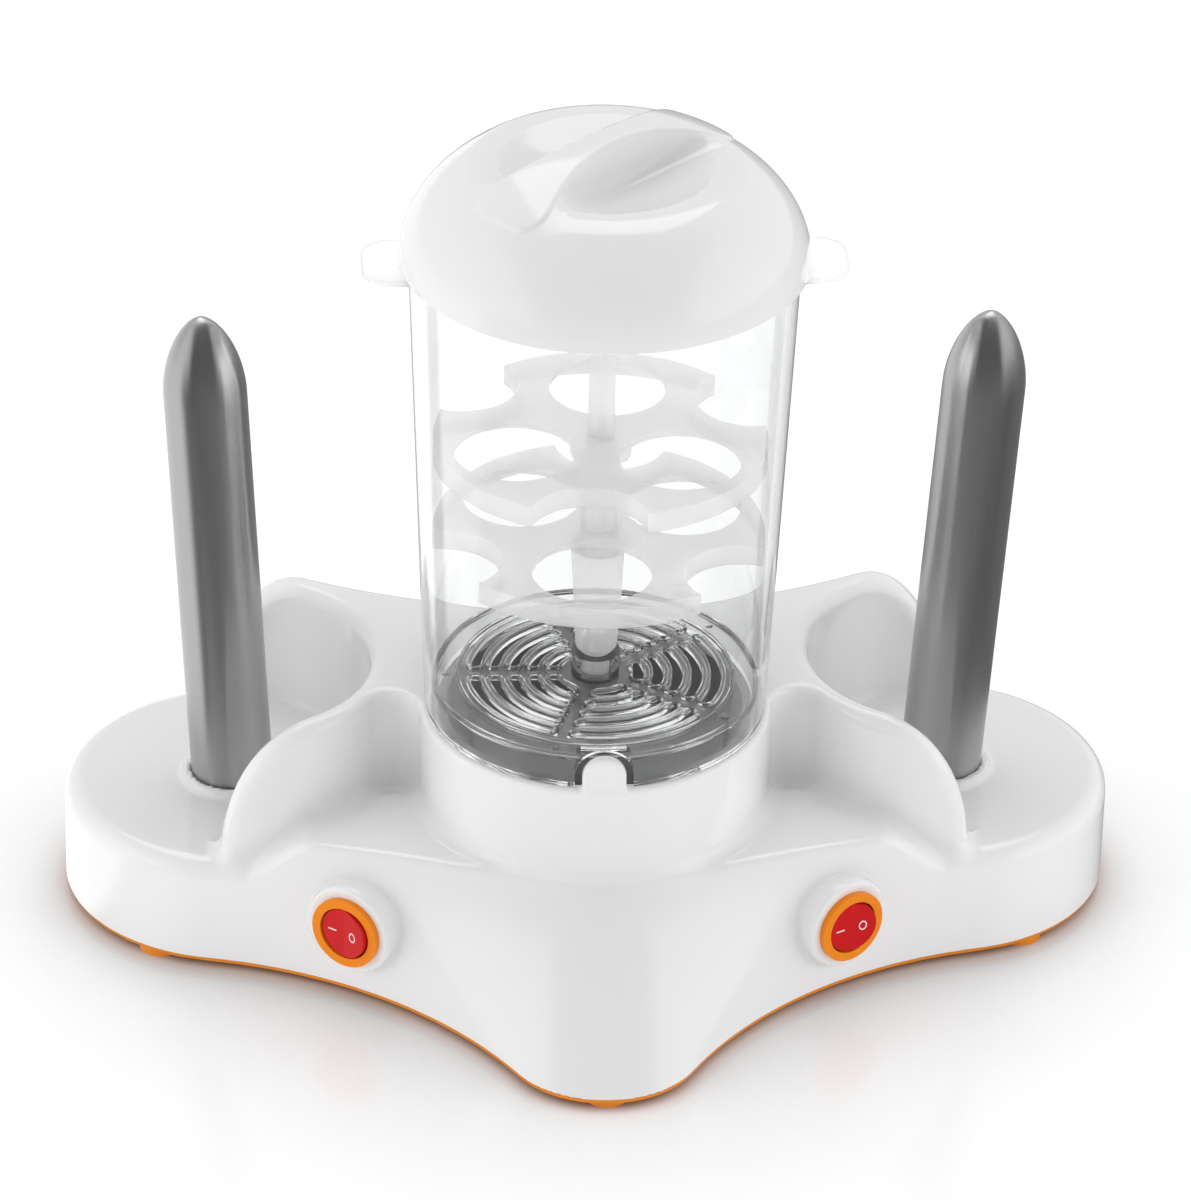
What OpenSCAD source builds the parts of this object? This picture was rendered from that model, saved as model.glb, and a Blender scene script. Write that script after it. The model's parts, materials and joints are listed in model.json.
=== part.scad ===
// Table-top hot dog maker: a clear steam container with a sausage rack stands on a white body,
// between two heated rods that warm the buns. Millimetres, Z up, front towards -Y, feet on Z = 0.

/* [Body outline] */
// Radius of the prow at the front
nose_r = 31; // [26:0.5:36]
// Distance from the container axis to the prow's centre, at the foot of the body
nose_reach = 73.3; // [66:0.1:82]
// The same distance at the crease where the prow's face ends
nose_top_reach = 25; // [18:0.5:32]
// Radius of each side lobe
lobe_r = 54.5; // [53:0.5:58]
// Distance from the container axis to each lobe's centre, sideways
lobe_x = 109; // [106:0.5:113]
// Distance from the container axis to each lobe's centre, backwards
lobe_y = 30; // [26:0.5:34]
// Radius of the hollow flank between prow and lobe, at the foot of the body
flank_r = 140; // [110:1:180]
// Radius of the flank at the crease, where it runs almost straight
flank_top_r = 1500; // [800:50:3000]
// Radius of the hollow back edge between the lobes
back_r = 190.8; // [170:0.2:230]

/* [Body heights] */
// Height of the feet
foot_h = 2.5; // [1.5:0.1:4]
// Height of the base plate's edge that shows under the shell
trim_h = 1.5; // [1:0.1:3]
// Height of the lobe decks above the table
lobe_top = 38; // [36:0.5:42]
// Height of the prow's top
apron_top = 50; // [46:0.5:56]
// Height of the deck and of the collar under the container
deck_top = 82; // [78:0.5:90]
// Wall of the body shell
wall = 2.5; // [2:0.1:3]
// Rounding of the lobes' upper edge
lobe_round = 6; // [3:0.5:8]
// Half width of the prow's top
apron_half = 88; // [82:0.5:92]
// Half width of the prow's sloping ends where they meet the lobe decks
apron_foot_half = 108; // [102:0.5:112]

/* [Deck] */
// Radius of the collar under the container
collar_r = 54; // [53.5:0.1:57]
// Radius of the scoop round each bun rod
scoop_r = 43; // [38:0.5:45]
// Outer radius of the arm round each scoop
arm_r = 51.5; // [49:0.5:53]
// Radius of the hollow between arm and collar
valley_r = 8; // [6:0.5:12]
// Half width of the flat part of the deck
deck_half = 87.5; // [80:0.5:90]
// Half width of the deck where its ends meet the lobe decks
deck_foot_half = 115; // [110:0.5:120]
// How far the deck's back edge stands inside the body's back edge
back_step = 2; // [1:0.5:4]

/* [Locating tab] */
// Width of the tab on the collar
tab_w = 13.4; // [10:0.2:16]
// Height of the tab above the collar
tab_h = 11; // [8:0.5:14]
// Thickness of the tab
tab_t = 3.6; // [2.5:0.1:3.8]
// Room between the tab and the arch in the container
tab_gap = 2.2; // [1:0.1:3]

/* [Bun rods] */
// Radius of a bun rod
rod_r = 12.75; // [11:0.25:14]
// Length of a bun rod above its lobe deck
rod_len = 162; // [130:1:180]
// Distance of a rod's foot outside the middle of its lobe
rod_out = 2.1; // [0:0.1:4]
// Distance of a rod's foot behind the middle of its lobe
rod_back = 0.2; // [-2:0.1:3]
// Outward lean of a rod in degrees
rod_lean = 3.2; // [0:0.1:5]
// Length of the bullet tip
tip_len = 26; // [18:1:34]
// Wall of the rod tube
rod_wall = 0.8; // [0.6:0.1:1.5]
// Radius of the round seat on the lobe deck
seat_r = 15.6; // [15.2:0.1:17]
// Height of the round seat
seat_h = 2.2; // [1:0.1:3]

/* [Steam container] */
// Outer radius of the clear cylinder at its foot
cyl_r = 52.4; // [51.8:0.1:53]
// Outer radius of the clear cylinder at its rim
cyl_top_r = 58.7; // [57:0.1:60]
// Height of the rim above the collar
cyl_h = 158; // [130:1:180]
// Wall of the clear cylinder
cyl_wall = 2; // [1.5:0.1:2.5]
// Reach of the finger ears from the axis
ear_reach = 72.5; // [69:0.5:78]
// Width of an ear, front to back
ear_w = 27; // [22:0.5:32]
// Thickness of an ear
ear_t = 2.4; // [2:0.1:4]
// Radius of an ear's corners
ear_corner = 9; // [4:0.5:10]

/* [Drip grid] */
// Height of the grid's top above the collar
grid_h = 10; // [8:0.5:13]
// Thickness of the grid and of its skirt
grid_t = 1.8; // [1.2:0.1:2.5]
// Radius of the first ring of slots
slot_r = 13.5; // [12:0.1:14]
// Distance from one ring of slots to the next
slot_pitch = 5.9; // [5:0.1:6.2]
// Width of a slot
slot_w = 3; // [2:0.1:3.5]
// Number of rings of slots
slot_rings = 5; // [3:1:5]
// Number of spokes
spokes = 5; // [3:1:8]
// Width of a spoke
spoke_w = 3; // [2:0.5:5]
// Radius of the post in the middle
post_r = 7.5; // [6.5:0.1:8.5]
// Height of the post above the grid
post_h = 8; // [6:0.5:12]

/* [Sausage rack] */
// Radius of the column where it stands on the post
column_r = 6.5; // [5.5:0.1:7]
// Radius of the column under the lower tier
shoulder_r = 8.3; // [7.5:0.1:9]
// Radius of the column between the tiers
shaft_r = 5.5; // [4.8:0.1:6]
// Radius of the column above the upper tier
stem_r = 4; // [3:0.1:4.5]
// Height of the lower tier above the grid
lower_tier_h = 45.5; // [35:0.5:55]
// Height of the upper tier above the grid
upper_tier_h = 77.5; // [68:0.5:95]
// Height of the column's end above the grid
stem_h = 140; // [120:1:142]
// Height of a tier's skirt
tier_h = 6.6; // [4:0.2:9]
// Thickness of a tier's plate and skirt
tier_t = 2; // [1.5:0.1:2.5]
// Number of sausage holes in a tier
holes = 3; // [2:1:3]
// Radius of a sausage hole
hole_r = 18; // [14:0.5:18.5]
// Width of the plate between a hole and the skirt
hole_edge = 2; // [1:0.1:3]
// Radius of the scallops in a tier's rim, between its holes
scallop_r = 17.5; // [12:0.5:19]
// Depth of the scallops
scallop_depth = 16.5; // [10:0.5:18]
// Angle of the lower tier's first hole, in degrees
rack_turn = -97; // [-180:1:180]

/* [Lid] */
// How far the lid's edge reaches down over the cylinder's rim
lid_overlap = 4.6; // [4.2:0.1:6]
// Radius of the lid's edge
lid_r = 61.3; // [61:0.1:63]
// Height of the dome above its edge
dome_h = 39.7; // [34:0.1:46]
// Wall of the lid
lid_wall = 1.6; // [1.2:0.1:1.8]
// Outer radius of the two finger scoops
finger_r = 36; // [30:0.5:40]
// Radius of each scoop's edge along the grip
grip_edge_r = 86; // [60:1:140]
// Width of the grip in the middle
grip_w = 8; // [6:0.5:14]
// Angle of the grip from the X axis, in degrees
grip_turn = 42; // [20:1:60]
// Depth of each finger scoop under the top of the dome
finger_depth = 13; // [8:0.5:16]

/* [Switches] */
// Sideways distance of each switch
switch_x = 76.9; // [72:0.1:80]
// Distance of each switch in front of the container axis
switch_y = 43; // [41:0.1:46]
// Height of each switch
switch_z = 25.9; // [23:0.1:28]
// Angle of each switch away from the front, in degrees
switch_turn = 34; // [30:0.5:40]
// Radius of the round boss behind a switch
boss_r = 14.75; // [13:0.25:16]
// Radius of the bezel
bezel_r = 11.5; // [11:0.1:12.5]
// Thickness of the bezel
bezel_t = 2; // [1.5:0.1:3]
// Radius of the bezel's barrel
barrel_r = 10; // [9.6:0.1:10.5]
// Length of the bezel's barrel
barrel_len = 14; // [12:0.5:16]
// Radius of the rocker
rocker_r = 8.3; // [7.5:0.1:8.6]
// Tilt of the rocker to each side, in degrees
rocker_tilt = 9; // [6:0.5:11]
// Hollow of the rocker's face, in degrees
rocker_dish = 6; // [0:0.5:8]

/* [Water bowl] */
// Radius of the opening in the collar
opening_r = 47; // [45:0.5:48]
// Depth of the bowl under the deck
bowl_depth = 20; // [15:0.5:24]
// Thickness of the bowl's sheet
bowl_t = 1.2; // [0.8:0.1:1.6]
// Width of the bowl's rim that lies on the seal
rim_w = 2.8; // [2:0.1:3]
// Thickness of the seal
seal_t = 0.8; // [0.5:0.1:1.2]
// Radius of the heater's ring
heater_ring_r = 33; // [30:0.5:36]
// Radius of the heater's tube
heater_tube_r = 3.3; // [2.5:0.1:4]

/* [Cord inlet] */
// Height of the cord gland
gland_z = 20; // [17:0.5:24]
// Radius of the gland's bore
gland_bore_r = 3.5; // [2.5:0.1:4]
// Radius of the gland's flanges
gland_r = 7.5; // [6.5:0.1:9]

/* [Clearances] */
// Gap between the rack's tiers and the clear cylinder
tier_gap = 2; // [1:0.1:3]
// Gap between the ears and the lid's edge
ear_gap = 0.9; // [0.5:0.1:2]
// Gap between parts that lift off each other
seat_gap = 0.3; // [0.2:0.05:0.5]
// Radial gap of pins, screws and press-in parts
fit = 0.05; // [0.02:0.01:0.1]
// Gap between fixed parts that lie beside each other
loose = 0.2; // [0.1:0.05:0.4]

/* [Hidden] */
$fn = 64;
over = 1;
rod_x = lobe_x + rod_out;
rod_y = lobe_y + rod_back;

white = [0.95, 0.95, 0.94];
orange = [0.91, 0.53, 0.04];
red = [0.75, 0.1, 0.13];
steel = [0.62, 0.63, 0.64];
dark_steel = [0.35, 0.35, 0.36];
clear = [0.86, 0.9, 0.92, 0.35];
frosted = [0.95, 0.96, 0.96, 0.8];
black = [0.12, 0.12, 0.12];
brass = [0.8, 0.68, 0.36];
ceramic = [0.88, 0.85, 0.78];
rubber = [0.2, 0.2, 0.2];

// The container axis stands a little behind the middle of the body's box
axis_y = ((nose_reach + nose_r) - (lobe_y + lobe_r)) / 2;

shell_foot = foot_h + trim_h;
prow_slope = (nose_reach - nose_top_reach) / (apron_top - shell_foot);
slant_wall = wall * sqrt(1 + prow_slope * prow_slope);

// Centre of the circle of radius r that touches two others from outside, on the right of the way from a to b
function touching(a, ra, b, rb, r) =
    let (d = norm(b - a), u = (b - a) / d)
    let (along = ((r + ra) ^ 2 - (r + rb) ^ 2 + d * d) / (2 * d))
    let (off = sqrt((r + ra) ^ 2 - along * along))
    a + along * u + off * [u.y, -u.x];

function heading(v) = atan2(v.y, v.x);
function arc(c, r, from, to, steps) =
    [for (i = [1 : steps]) let (t = from + (to - from) * i / steps) c + r * [cos(t), sin(t)]];

function rise(z) = (z - shell_foot) / (apron_top - shell_foot);
function nose_y(z) = -nose_reach + prow_slope * (z - shell_foot);
function flank_r_at(z) = 1 / ((1 - rise(z)) / flank_r + rise(z) / flank_top_r);
function back_centre() = [0, lobe_y + sqrt((back_r + lobe_r) ^ 2 - lobe_x ^ 2)];

// A point of the outline drawn towards the lobe's centre by edge, fading out towards the prow
function rounded_in(p, edge) =
    let (t = min(1, max(0, (p.x - apron_half) / (apron_foot_half - apron_half))))
    let (to_lobe = [lobe_x, lobe_y] - p)
    p + edge * t * t * (3 - 2 * t) * to_lobe / norm(to_lobe);

// Right half of the body's outline at height z, drawn in by front_in at the prow, by side_in at the lobes
// and by edge along the lobes' rounded upper edge
function half_outline(z, front_in, side_in, edge) =
    let (nose = [0, nose_y(z)], lobe = [lobe_x, lobe_y], back = back_centre())
    let (rn = nose_r - front_in, rl = lobe_r - side_in, rf = flank_r_at(z) + front_in, rb = back_r + side_in)
    let (flank = touching(nose, rn, lobe, rl, rf))
    let (a = heading(flank - nose), b = heading(flank - lobe), c = heading(back - lobe))
    let (points = concat(
        [nose + [0, -rn]],
        arc(nose, rn, -90, a, 8),
        arc(flank, rf, a + 180, b + 180, 12),
        arc(lobe, rl, b, c, 20),
        arc(back, rb, c - 180, -90, 8)
    ))
    [for (p = points) rounded_in(p, edge)];

function outline(z, front_in, side_in, edge = 0) =
    let (half = half_outline(z, front_in, side_in, edge))
    concat(half, [for (i = [len(half) - 2 : -1 : 1]) [-half[i].x, half[i].y]]);

// Solid through outlines, each given as [height, prow inset, lobe inset, edge inset]
module loft(rings) {
    sections = [for (r = rings) outline(r[0], r[1], r[2], r[3])];
    n = len(sections[0]);
    top = len(rings) - 1;
    hub = [0, lobe_y / 2];
    points = concat(
        [for (k = [0 : top]) for (p = sections[k]) [p.x, p.y, rings[k][0]]],
        [[hub.x, hub.y, rings[0][0]], [hub.x, hub.y, rings[top][0]]]
    );
    sides = [
        for (k = [0 : top - 1]) for (i = [0 : n - 1])
            let (a = k * n + i, b = k * n + (i + 1) % n)
            each [[a, a + n, b + n], [a, b + n, b]]
    ];
    ends = [
        for (i = [0 : n - 1])
            let (j = (i + 1) % n)
            each [[i, j, (top + 1) * n], [top * n + j, top * n + i, (top + 1) * n + 1]]
    ];
    polyhedron(points, concat(sides, ends), convexity = 6);
}

// Outline in X and Z, run from front to back
module along_y(points) {
    rotate([90, 0, 0]) linear_extrude(4 * lobe_x, center = true) polygon(points);
}

module placed() { translate([0, axis_y, 0]) children(); }
module both_sides() { for (side = [-1, 1]) scale_x(side) children(); }
module scale_x(side) { if (side > 0) children(); else mirror([1, 0, 0]) children(); }
module disc(r, z0, z1) { translate([0, 0, z0]) cylinder(r = r, h = z1 - z0); }
module ring(r_out, r_in, z0, z1) {
    difference() {
        disc(r_out, z0, z1);
        disc(r_in, z0 - over, z1 + over);
    }
}

// Seat of the bowl in the collar
seat_ledge = wall;
rim_r = opening_r + rim_w;
bowl_rim_z = deck_top - bowl_t - loose;
ledge_z = bowl_rim_z - seal_t;

// Screws of the base plate
plate_in = 0.6;
slab_h = 2;
slab_top = shell_foot + slab_h;
post_top = slab_top + 4;
screw_r = 1.5;
screw_head_r = 3.1;
screw_head_h = 2.2;
screw_len = 14;
screw_post_r = 5;
screw_head_z = slab_top - 1;
screw_end = screw_head_z + screw_head_h + screw_len;
nose_screw_in = 13;
side_screw = [34, 8];
scoop_screw = [-12, 30];
// The same place beside both lobes' centres
function lobe_pair(p) = [for (side = [-1, 1]) [side * (lobe_x + p.x), lobe_y + p.y, 0]];
screw_spots = concat(
    [[0, -nose_reach + nose_screw_in, 0]],
    lobe_pair(side_screw),
    lobe_pair(scoop_screw)
);
module at_screws() { for (spot = screw_spots) translate(spot) children(); }

// Feet under the base plate
foot_r = 6.5;
foot_stem_r = 2.4;
nose_foot_in = 2;
side_foot = [25, -40];
back_foot = [8, 45];
foot_spots = concat(
    [[0, -nose_reach - nose_r + foot_r + nose_foot_in, 0]],
    lobe_pair(side_foot),
    lobe_pair(back_foot)
);

// Body shell
loaf_steps = 12;
function loaf(inset) =
    let (a = deck_foot_half - deck_half, b = deck_top - lobe_top)
    let (side = [for (i = [0 : loaf_steps])
        let (t = 90 - 90 * i / loaf_steps)
        [deck_half + (a - inset) * cos(t), lobe_top + (b - inset) * sin(t)]])
    let (foot = lobe_top - lobe_round - over)
    concat(side, [[deck_foot_half - inset, foot], [-deck_foot_half + inset, foot]],
        [for (i = [loaf_steps : -1 : 0]) [-side[i].x, side[i].y]]);

valley_bite = 0.1;
module deck_plan(inset) {
    rod = [rod_x, rod_y];
    valley = touching([0, 0], collar_r, rod, arm_r, valley_r);
    back = back_centre();
    horn = rod + arm_r * (back - rod) / norm(back - rod);
    difference() {
        union() {
            circle(r = collar_r - inset);
            both_sides() {
                translate(rod) circle(r = arm_r - inset);
                polygon([[0, 0], valley, rod, horn, [0, horn.y]]);
            }
        }
        both_sides() {
            translate(rod) circle(r = scoop_r + inset);
            translate(valley) circle(r = valley_r + valley_bite + inset);
        }
        translate(back) circle(r = back_r + back_step + inset, $fn = 200);
    }
}

module deck_block(inset, foot) {
    intersection() {
        translate([0, 0, foot]) linear_extrude(deck_top - foot) deck_plan(inset);
        along_y(loaf(inset));
    }
}

// Outlines of the body's upright sides, from the base plate to where the lobes' edge rounding starts
side_foot_z = slab_top;
side_top_z = lobe_top - lobe_round;
function side_rings(front_in, side_in) =
    [for (z = [side_foot_z, (side_foot_z + side_top_z) / 2, side_top_z]) [z, front_in, side_in, 0]];

// Lower body up to the lobe decks, with the lobes' upper edge rounded
module lower_block() {
    edge_steps = 4;
    loft(concat(
        [[shell_foot, 0, 0, 0]],
        side_rings(0, 0),
        [for (i = [1 : edge_steps])
            let (t = 90 * i / edge_steps)
            [lobe_top - lobe_round * (1 - sin(t)), 0, 0, lobe_round * (1 - cos(t))]]
    ));
    intersection() {
        deck_block(0, side_top_z);
        translate([-lobe_x, -nose_reach, 0]) cube([2 * lobe_x, 2 * nose_reach, lobe_top]);
    }
}

module lower_hollow() {
    loft(concat(
        [[shell_foot - over, slant_wall, wall, 0]],
        side_rings(slant_wall, wall),
        [[lobe_top - wall, slant_wall, wall, lobe_round]]
    ));
    disc(collar_r - wall, lobe_top - 2 * wall, lobe_top + over);
}

module rod_frame() { translate([rod_x, rod_y, lobe_top]) rotate([0, rod_lean, 0]) children(); }
module switch_frame() {
    translate([switch_x, -switch_y, switch_z]) rotate([90, 0, switch_turn]) children();
}

bush_t = 1;
bush_r = rod_r + bush_t;
gland_groove_r = gland_r - 2;
back_wall_y = back_centre().y - back_r;
gland_pad = 1.5;
gland_pad_r = gland_r + 1.5;
gland_face_y = back_wall_y + gland_pad;
module gland_frame() { translate([0, gland_face_y, gland_z]) rotate([-90, 0, 0]) children(); }

module body_shell() {
    color(white) placed() difference() {
        union() {
            difference() {
                union() {
                    lower_block();
                    both_sides() {
                        translate([rod_x, rod_y, 0]) disc(seat_r, lobe_top - wall, lobe_top + seat_h);
                        switch_frame() disc(boss_r, -barrel_len, 0);
                    }
                    gland_frame() disc(gland_pad_r, -wall - gland_pad, 0);
                }
                lower_hollow();
            }
            at_screws() disc(screw_post_r, post_top + loose, lobe_top - wall / 2);
        }
        both_sides() {
            rod_frame() disc(bush_r + fit, -4 * wall, 4 * wall);
            switch_frame() disc(barrel_r + fit, -2 * barrel_len, over);
        }
        gland_frame() disc(gland_groove_r + fit, -8 * wall, over);
        at_screws() disc(screw_r + fit, 0, screw_end + over);
    }
}

// The prow's top: its sides fall to the lobe decks beside the decks' arms
module beside_apron(inset) {
    far = lobe_x + lobe_r + over;
    both_sides() along_y([
        [apron_half - inset, apron_top + over], [apron_half - inset, apron_top],
        [apron_foot_half - inset, lobe_top - inset], [far, lobe_top - inset], [far, apron_top + over]
    ]);
}

module apron() {
    crease = 2;
    color(white) placed() difference() {
        loft([
            [lobe_top, 0, 0, lobe_round], [apron_top - crease, 0, 0, lobe_round],
            [apron_top, crease, 0, lobe_round]
        ]);
        difference() {
            loft([
                [lobe_top - over, slant_wall, wall, lobe_round], [apron_top - wall, slant_wall, wall, lobe_round]
            ]);
            beside_apron(wall);
        }
        beside_apron(0);
        translate([0, 0, lobe_top - over]) linear_extrude(apron_top) {
            deck_plan(-loose);
            both_sides() translate([rod_x, rod_y]) circle(r = arm_r + loose);
            translate([-2 * lobe_x, lobe_y / 2]) square([4 * lobe_x, 2 * lobe_x]);
        }
        both_sides() switch_frame() disc(boss_r + loose, -2 * barrel_len, barrel_len);
    }
}

module collar() {
    color(white) placed() difference() {
        union() {
            disc(collar_r, lobe_top, deck_top);
            locating_tab();
        }
        disc(collar_r - wall, 0, ledge_z - seat_ledge);
        disc(opening_r, 0, deck_top + over);
        disc(rim_r + loose, ledge_z, deck_top + over);
    }
}

module deck(side) {
    inner_r = collar_r + loose;
    color(white) placed() scale_x(side) difference() {
        intersection() {
            deck_block(0, lobe_top);
            translate([0, -lobe_x, 0]) cube([2 * lobe_x, 3 * lobe_x, 2 * deck_top]);
        }
        difference() {
            deck_block(wall, lobe_top - over);
            disc(inner_r + wall, 0, deck_top);
        }
        disc(inner_r, 0, deck_top + over);
    }
}

module locating_tab() {
    intersection() {
        translate([0, tab_t - collar_r, 0]) rotate([90, 0, 0]) linear_extrude(tab_t + over) union() {
            translate([-tab_w / 2, deck_top - wall]) square([tab_w, tab_h + wall - tab_w / 2]);
            translate([0, deck_top + tab_h - tab_w / 2]) circle(d = tab_w);
        }
        disc(collar_r - loose, 0, 2 * deck_top);
    }
}

// Base plate, feet and screws
module base_plate() {
    color(orange) placed() difference() {
        union() {
            translate([0, 0, foot_h]) linear_extrude(trim_h)
                polygon(outline(shell_foot, plate_in, plate_in));
            translate([0, 0, foot_h]) linear_extrude(trim_h + slab_h)
                polygon(outline(slab_top, slant_wall + 2 * loose, wall + loose));
            at_screws() disc(screw_post_r, foot_h, post_top);
        }
        at_screws() {
            disc(screw_r + fit, 0, post_top + over);
            disc(screw_head_r + loose, 0, screw_head_z + screw_head_h);
        }
        for (spot = foot_spots) translate(spot) disc(foot_stem_r + fit, 0, slab_top + over);
    }
}

module feet() {
    color(orange) placed() for (spot = foot_spots) translate(spot) {
        disc(foot_r, 0, foot_h);
        disc(foot_stem_r, 0, slab_top);
    }
}

module base_screws() {
    head_z = screw_head_z + screw_head_h;
    color(steel) placed() at_screws() {
        disc(screw_head_r, screw_head_z, head_z);
        disc(screw_r, screw_head_z, screw_end);
    }
}

// Water bowl with its heater
bowl_wall_r = opening_r - 2 * loose;
bowl_floor_z = deck_top - bowl_depth;
bowl_under = bowl_floor_z - bowl_t;
stud_r = 2.5;
bracket_t = 2;
bracket_w = 16;
bracket_z = bowl_under - 2 * heater_tube_r - 2 * loose - bracket_t;
nut_h = 4;

module water_bowl() {
    color(dark_steel) placed() {
        rotate_extrude() polygon([
            [0, bowl_under], [bowl_wall_r, bowl_under], [bowl_wall_r, bowl_rim_z],
            [rim_r, bowl_rim_z], [rim_r, bowl_rim_z + bowl_t],
            [bowl_wall_r - bowl_t, bowl_rim_z + bowl_t],
            [bowl_wall_r - bowl_t, bowl_floor_z], [0, bowl_floor_z]
        ]);
        disc(stud_r, bracket_z - nut_h - over, bowl_floor_z);
    }
}

module bowl_seal() { color(rubber) placed() ring(rim_r, opening_r, ledge_z, bowl_rim_z); }

module bowl_bracket() {
    leg_x = collar_r - wall - 2 * loose - bracket_t;
    color(steel) placed() difference() {
        union() {
            translate([-leg_x, -bracket_w / 2, bracket_z]) cube([2 * leg_x, bracket_w, bracket_t]);
            both_sides() translate([bowl_wall_r + loose, -bracket_w / 2, bracket_z])
                cube([bracket_t, bracket_w, ledge_z - seat_ledge - bracket_z]);
        }
        disc(stud_r + fit, 0, deck_top);
    }
}

module bowl_nut() { color(brass) placed() ring(2 * stud_r, stud_r + fit, bracket_z - nut_h, bracket_z); }

// The heater's tube runs round under the bowl, and its two ends carry pins
module bowl_heater() {
    gap_turn = 60;
    end_len = 5;
    pin_len = 4;
    color(dark_steel) placed() translate([0, 0, bowl_under - heater_tube_r]) {
        rotate([0, 0, 90 + gap_turn / 2]) rotate_extrude(angle = 360 - gap_turn)
            translate([heater_ring_r, 0]) circle(r = heater_tube_r);
        for (side = [-1, 1]) scale_x(side) rotate([0, 0, 90 - gap_turn / 2]) translate([heater_ring_r, 0, 0])
            rotate([-90, 0, 0]) {
                cylinder(r = heater_tube_r, h = end_len);
                cylinder(r = heater_tube_r / 2, h = end_len + pin_len);
            }
    }
}

module thermostat() {
    thermostat_r = 8;
    thermostat_h = 9;
    blade = [0.8, 5, 6];
    blade_x = 4;
    color(black) placed() translate([0, -thermostat_r - bracket_w / 2 - over, 0]) {
        disc(thermostat_r, bowl_under - thermostat_h, bowl_under);
        for (x = [-blade_x, blade_x]) translate([x, 0, 0] - blade / 2)
            translate([0, 0, bowl_under - thermostat_h - blade.z / 2]) cube(blade);
    }
}

module thermal_fuse() {
    fuse_r = 2.2;
    fuse_len = 14;
    color(steel) placed() translate([0, bracket_w / 2 + fuse_r + over, bowl_under - fuse_r])
        rotate([0, 90, 0]) cylinder(r = fuse_r, h = fuse_len, center = true);
}

// Mains inlet
block_w = 36;
block_d = 18;
block_h = 14;
block_y = 6;
well_r = 3.2;
wells = 3;
module terminal_block() {
    color(ceramic) placed() translate([-block_w / 2, block_y, slab_top]) difference() {
        cube([block_w, block_d, block_h]);
        for (i = [0 : wells - 1]) translate([block_w * (i + 0.5) / wells, block_d / 2, block_h / 2])
            cylinder(r = well_r, h = block_h);
    }
}

module cord_gland() {
    groove = wall + gland_pad;
    flange = 2.5;
    chamfer = 1;
    inner_r = gland_r - 0.5;
    color(rubber) placed() gland_frame() rotate_extrude() polygon([
        [gland_bore_r, -groove - flange - loose], [inner_r, -groove - flange - loose],
        [inner_r, -groove - loose], [gland_groove_r, -groove - loose], [gland_groove_r, 0],
        [gland_r, 0], [gland_r - chamfer, flange], [gland_bore_r, flange]
    ]);
}

clamp_size = [30, 9, 8];
clamp_y = back_wall_y - 20;
clamp_screw_x = 10.5;
module cord_clamp() {
    color(white) placed() translate([0, clamp_y, slab_top]) difference() {
        translate([-clamp_size.x / 2, -clamp_size.y / 2, 0]) cube(clamp_size);
        rotate([90, 0, 0]) cylinder(r = gland_bore_r, h = 2 * clamp_size.y, center = true);
        for (x = [-clamp_screw_x, clamp_screw_x]) translate([x, 0, -over])
            cylinder(r = screw_r + fit, h = clamp_size.z + 2 * over);
    }
}

module clamp_screws() {
    color(steel) placed() for (x = [-clamp_screw_x, clamp_screw_x]) translate([x, clamp_y, slab_top]) {
        disc(screw_head_r, clamp_size.z, clamp_size.z + screw_head_h);
        disc(screw_r, 0, clamp_size.z + screw_head_h);
    }
}

// Bun rods
rod_foot = 14;
flange_z = -4.2;
flange_h = 3;
flange_w = 3;
rod_nut_h = 5;
rod_nut_w = 2.5;
tip_fullness = 1.9;
tip_round = 0.62;
tip_steps = 14;

module bun_rod(side) {
    tip = [for (i = [0 : tip_steps])
        let (s = i / tip_steps)
        [rod_r * (1 - s ^ tip_fullness) ^ tip_round, rod_len - tip_len * (1 - s)]];
    color(steel) placed() scale_x(side) rod_frame() difference() {
        rotate_extrude() polygon(concat([[0, -rod_foot], [rod_r, -rod_foot]], tip));
        disc(rod_r - rod_wall, -rod_foot - over, rod_len - tip_len);
    }
}

module rod_heater(side) {
    core_r = 6;
    spacer_h = 4;
    spacers = 4;
    core_in = 2;
    tip_room = 6;
    start = -rod_foot + core_in;
    end = rod_len - tip_len - tip_room;
    color(ceramic) placed() scale_x(side) rod_frame() {
        disc(core_r, start, end);
        for (i = [0 : spacers - 1]) let (z = start + (end - start - spacer_h) * i / (spacers - 1))
            disc(rod_r - rod_wall - loose, z, z + spacer_h);
    }
}

module rod_bush(side) {
    color(white) placed() scale_x(side) rod_frame() difference() {
        union() {
            disc(bush_r, flange_z, seat_h - over);
            disc(bush_r + flange_w, flange_z - flange_h, flange_z);
        }
        disc(rod_r + fit, flange_z - flange_h - over, seat_h + over);
    }
}

module rod_nut(side) {
    z = flange_z - flange_h;
    color(brass) placed() scale_x(side) rod_frame() ring(bush_r + rod_nut_w, rod_r + fit, z - rod_nut_h, z);
}

// Rocker switches, with the face's normal along the local Z
rocker_gap = 0.4;
bore_r = rocker_r + rocker_gap;
pivot_z = 0.5;
pin_r = 1.2;
socket_reach = barrel_r - 0.3;
module switch_bezel(side) {
    color(orange) placed() scale_x(side) switch_frame() difference() {
        union() {
            disc(bezel_r, 0, bezel_t);
            disc(barrel_r, -barrel_len, 0);
        }
        disc(bore_r, -barrel_len - over, bezel_t + over);
        translate([0, 0, pivot_z]) rotate([90, 0, 0])
            cylinder(r = pin_r + fit, h = 2 * socket_reach, center = true);
    }
}

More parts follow.
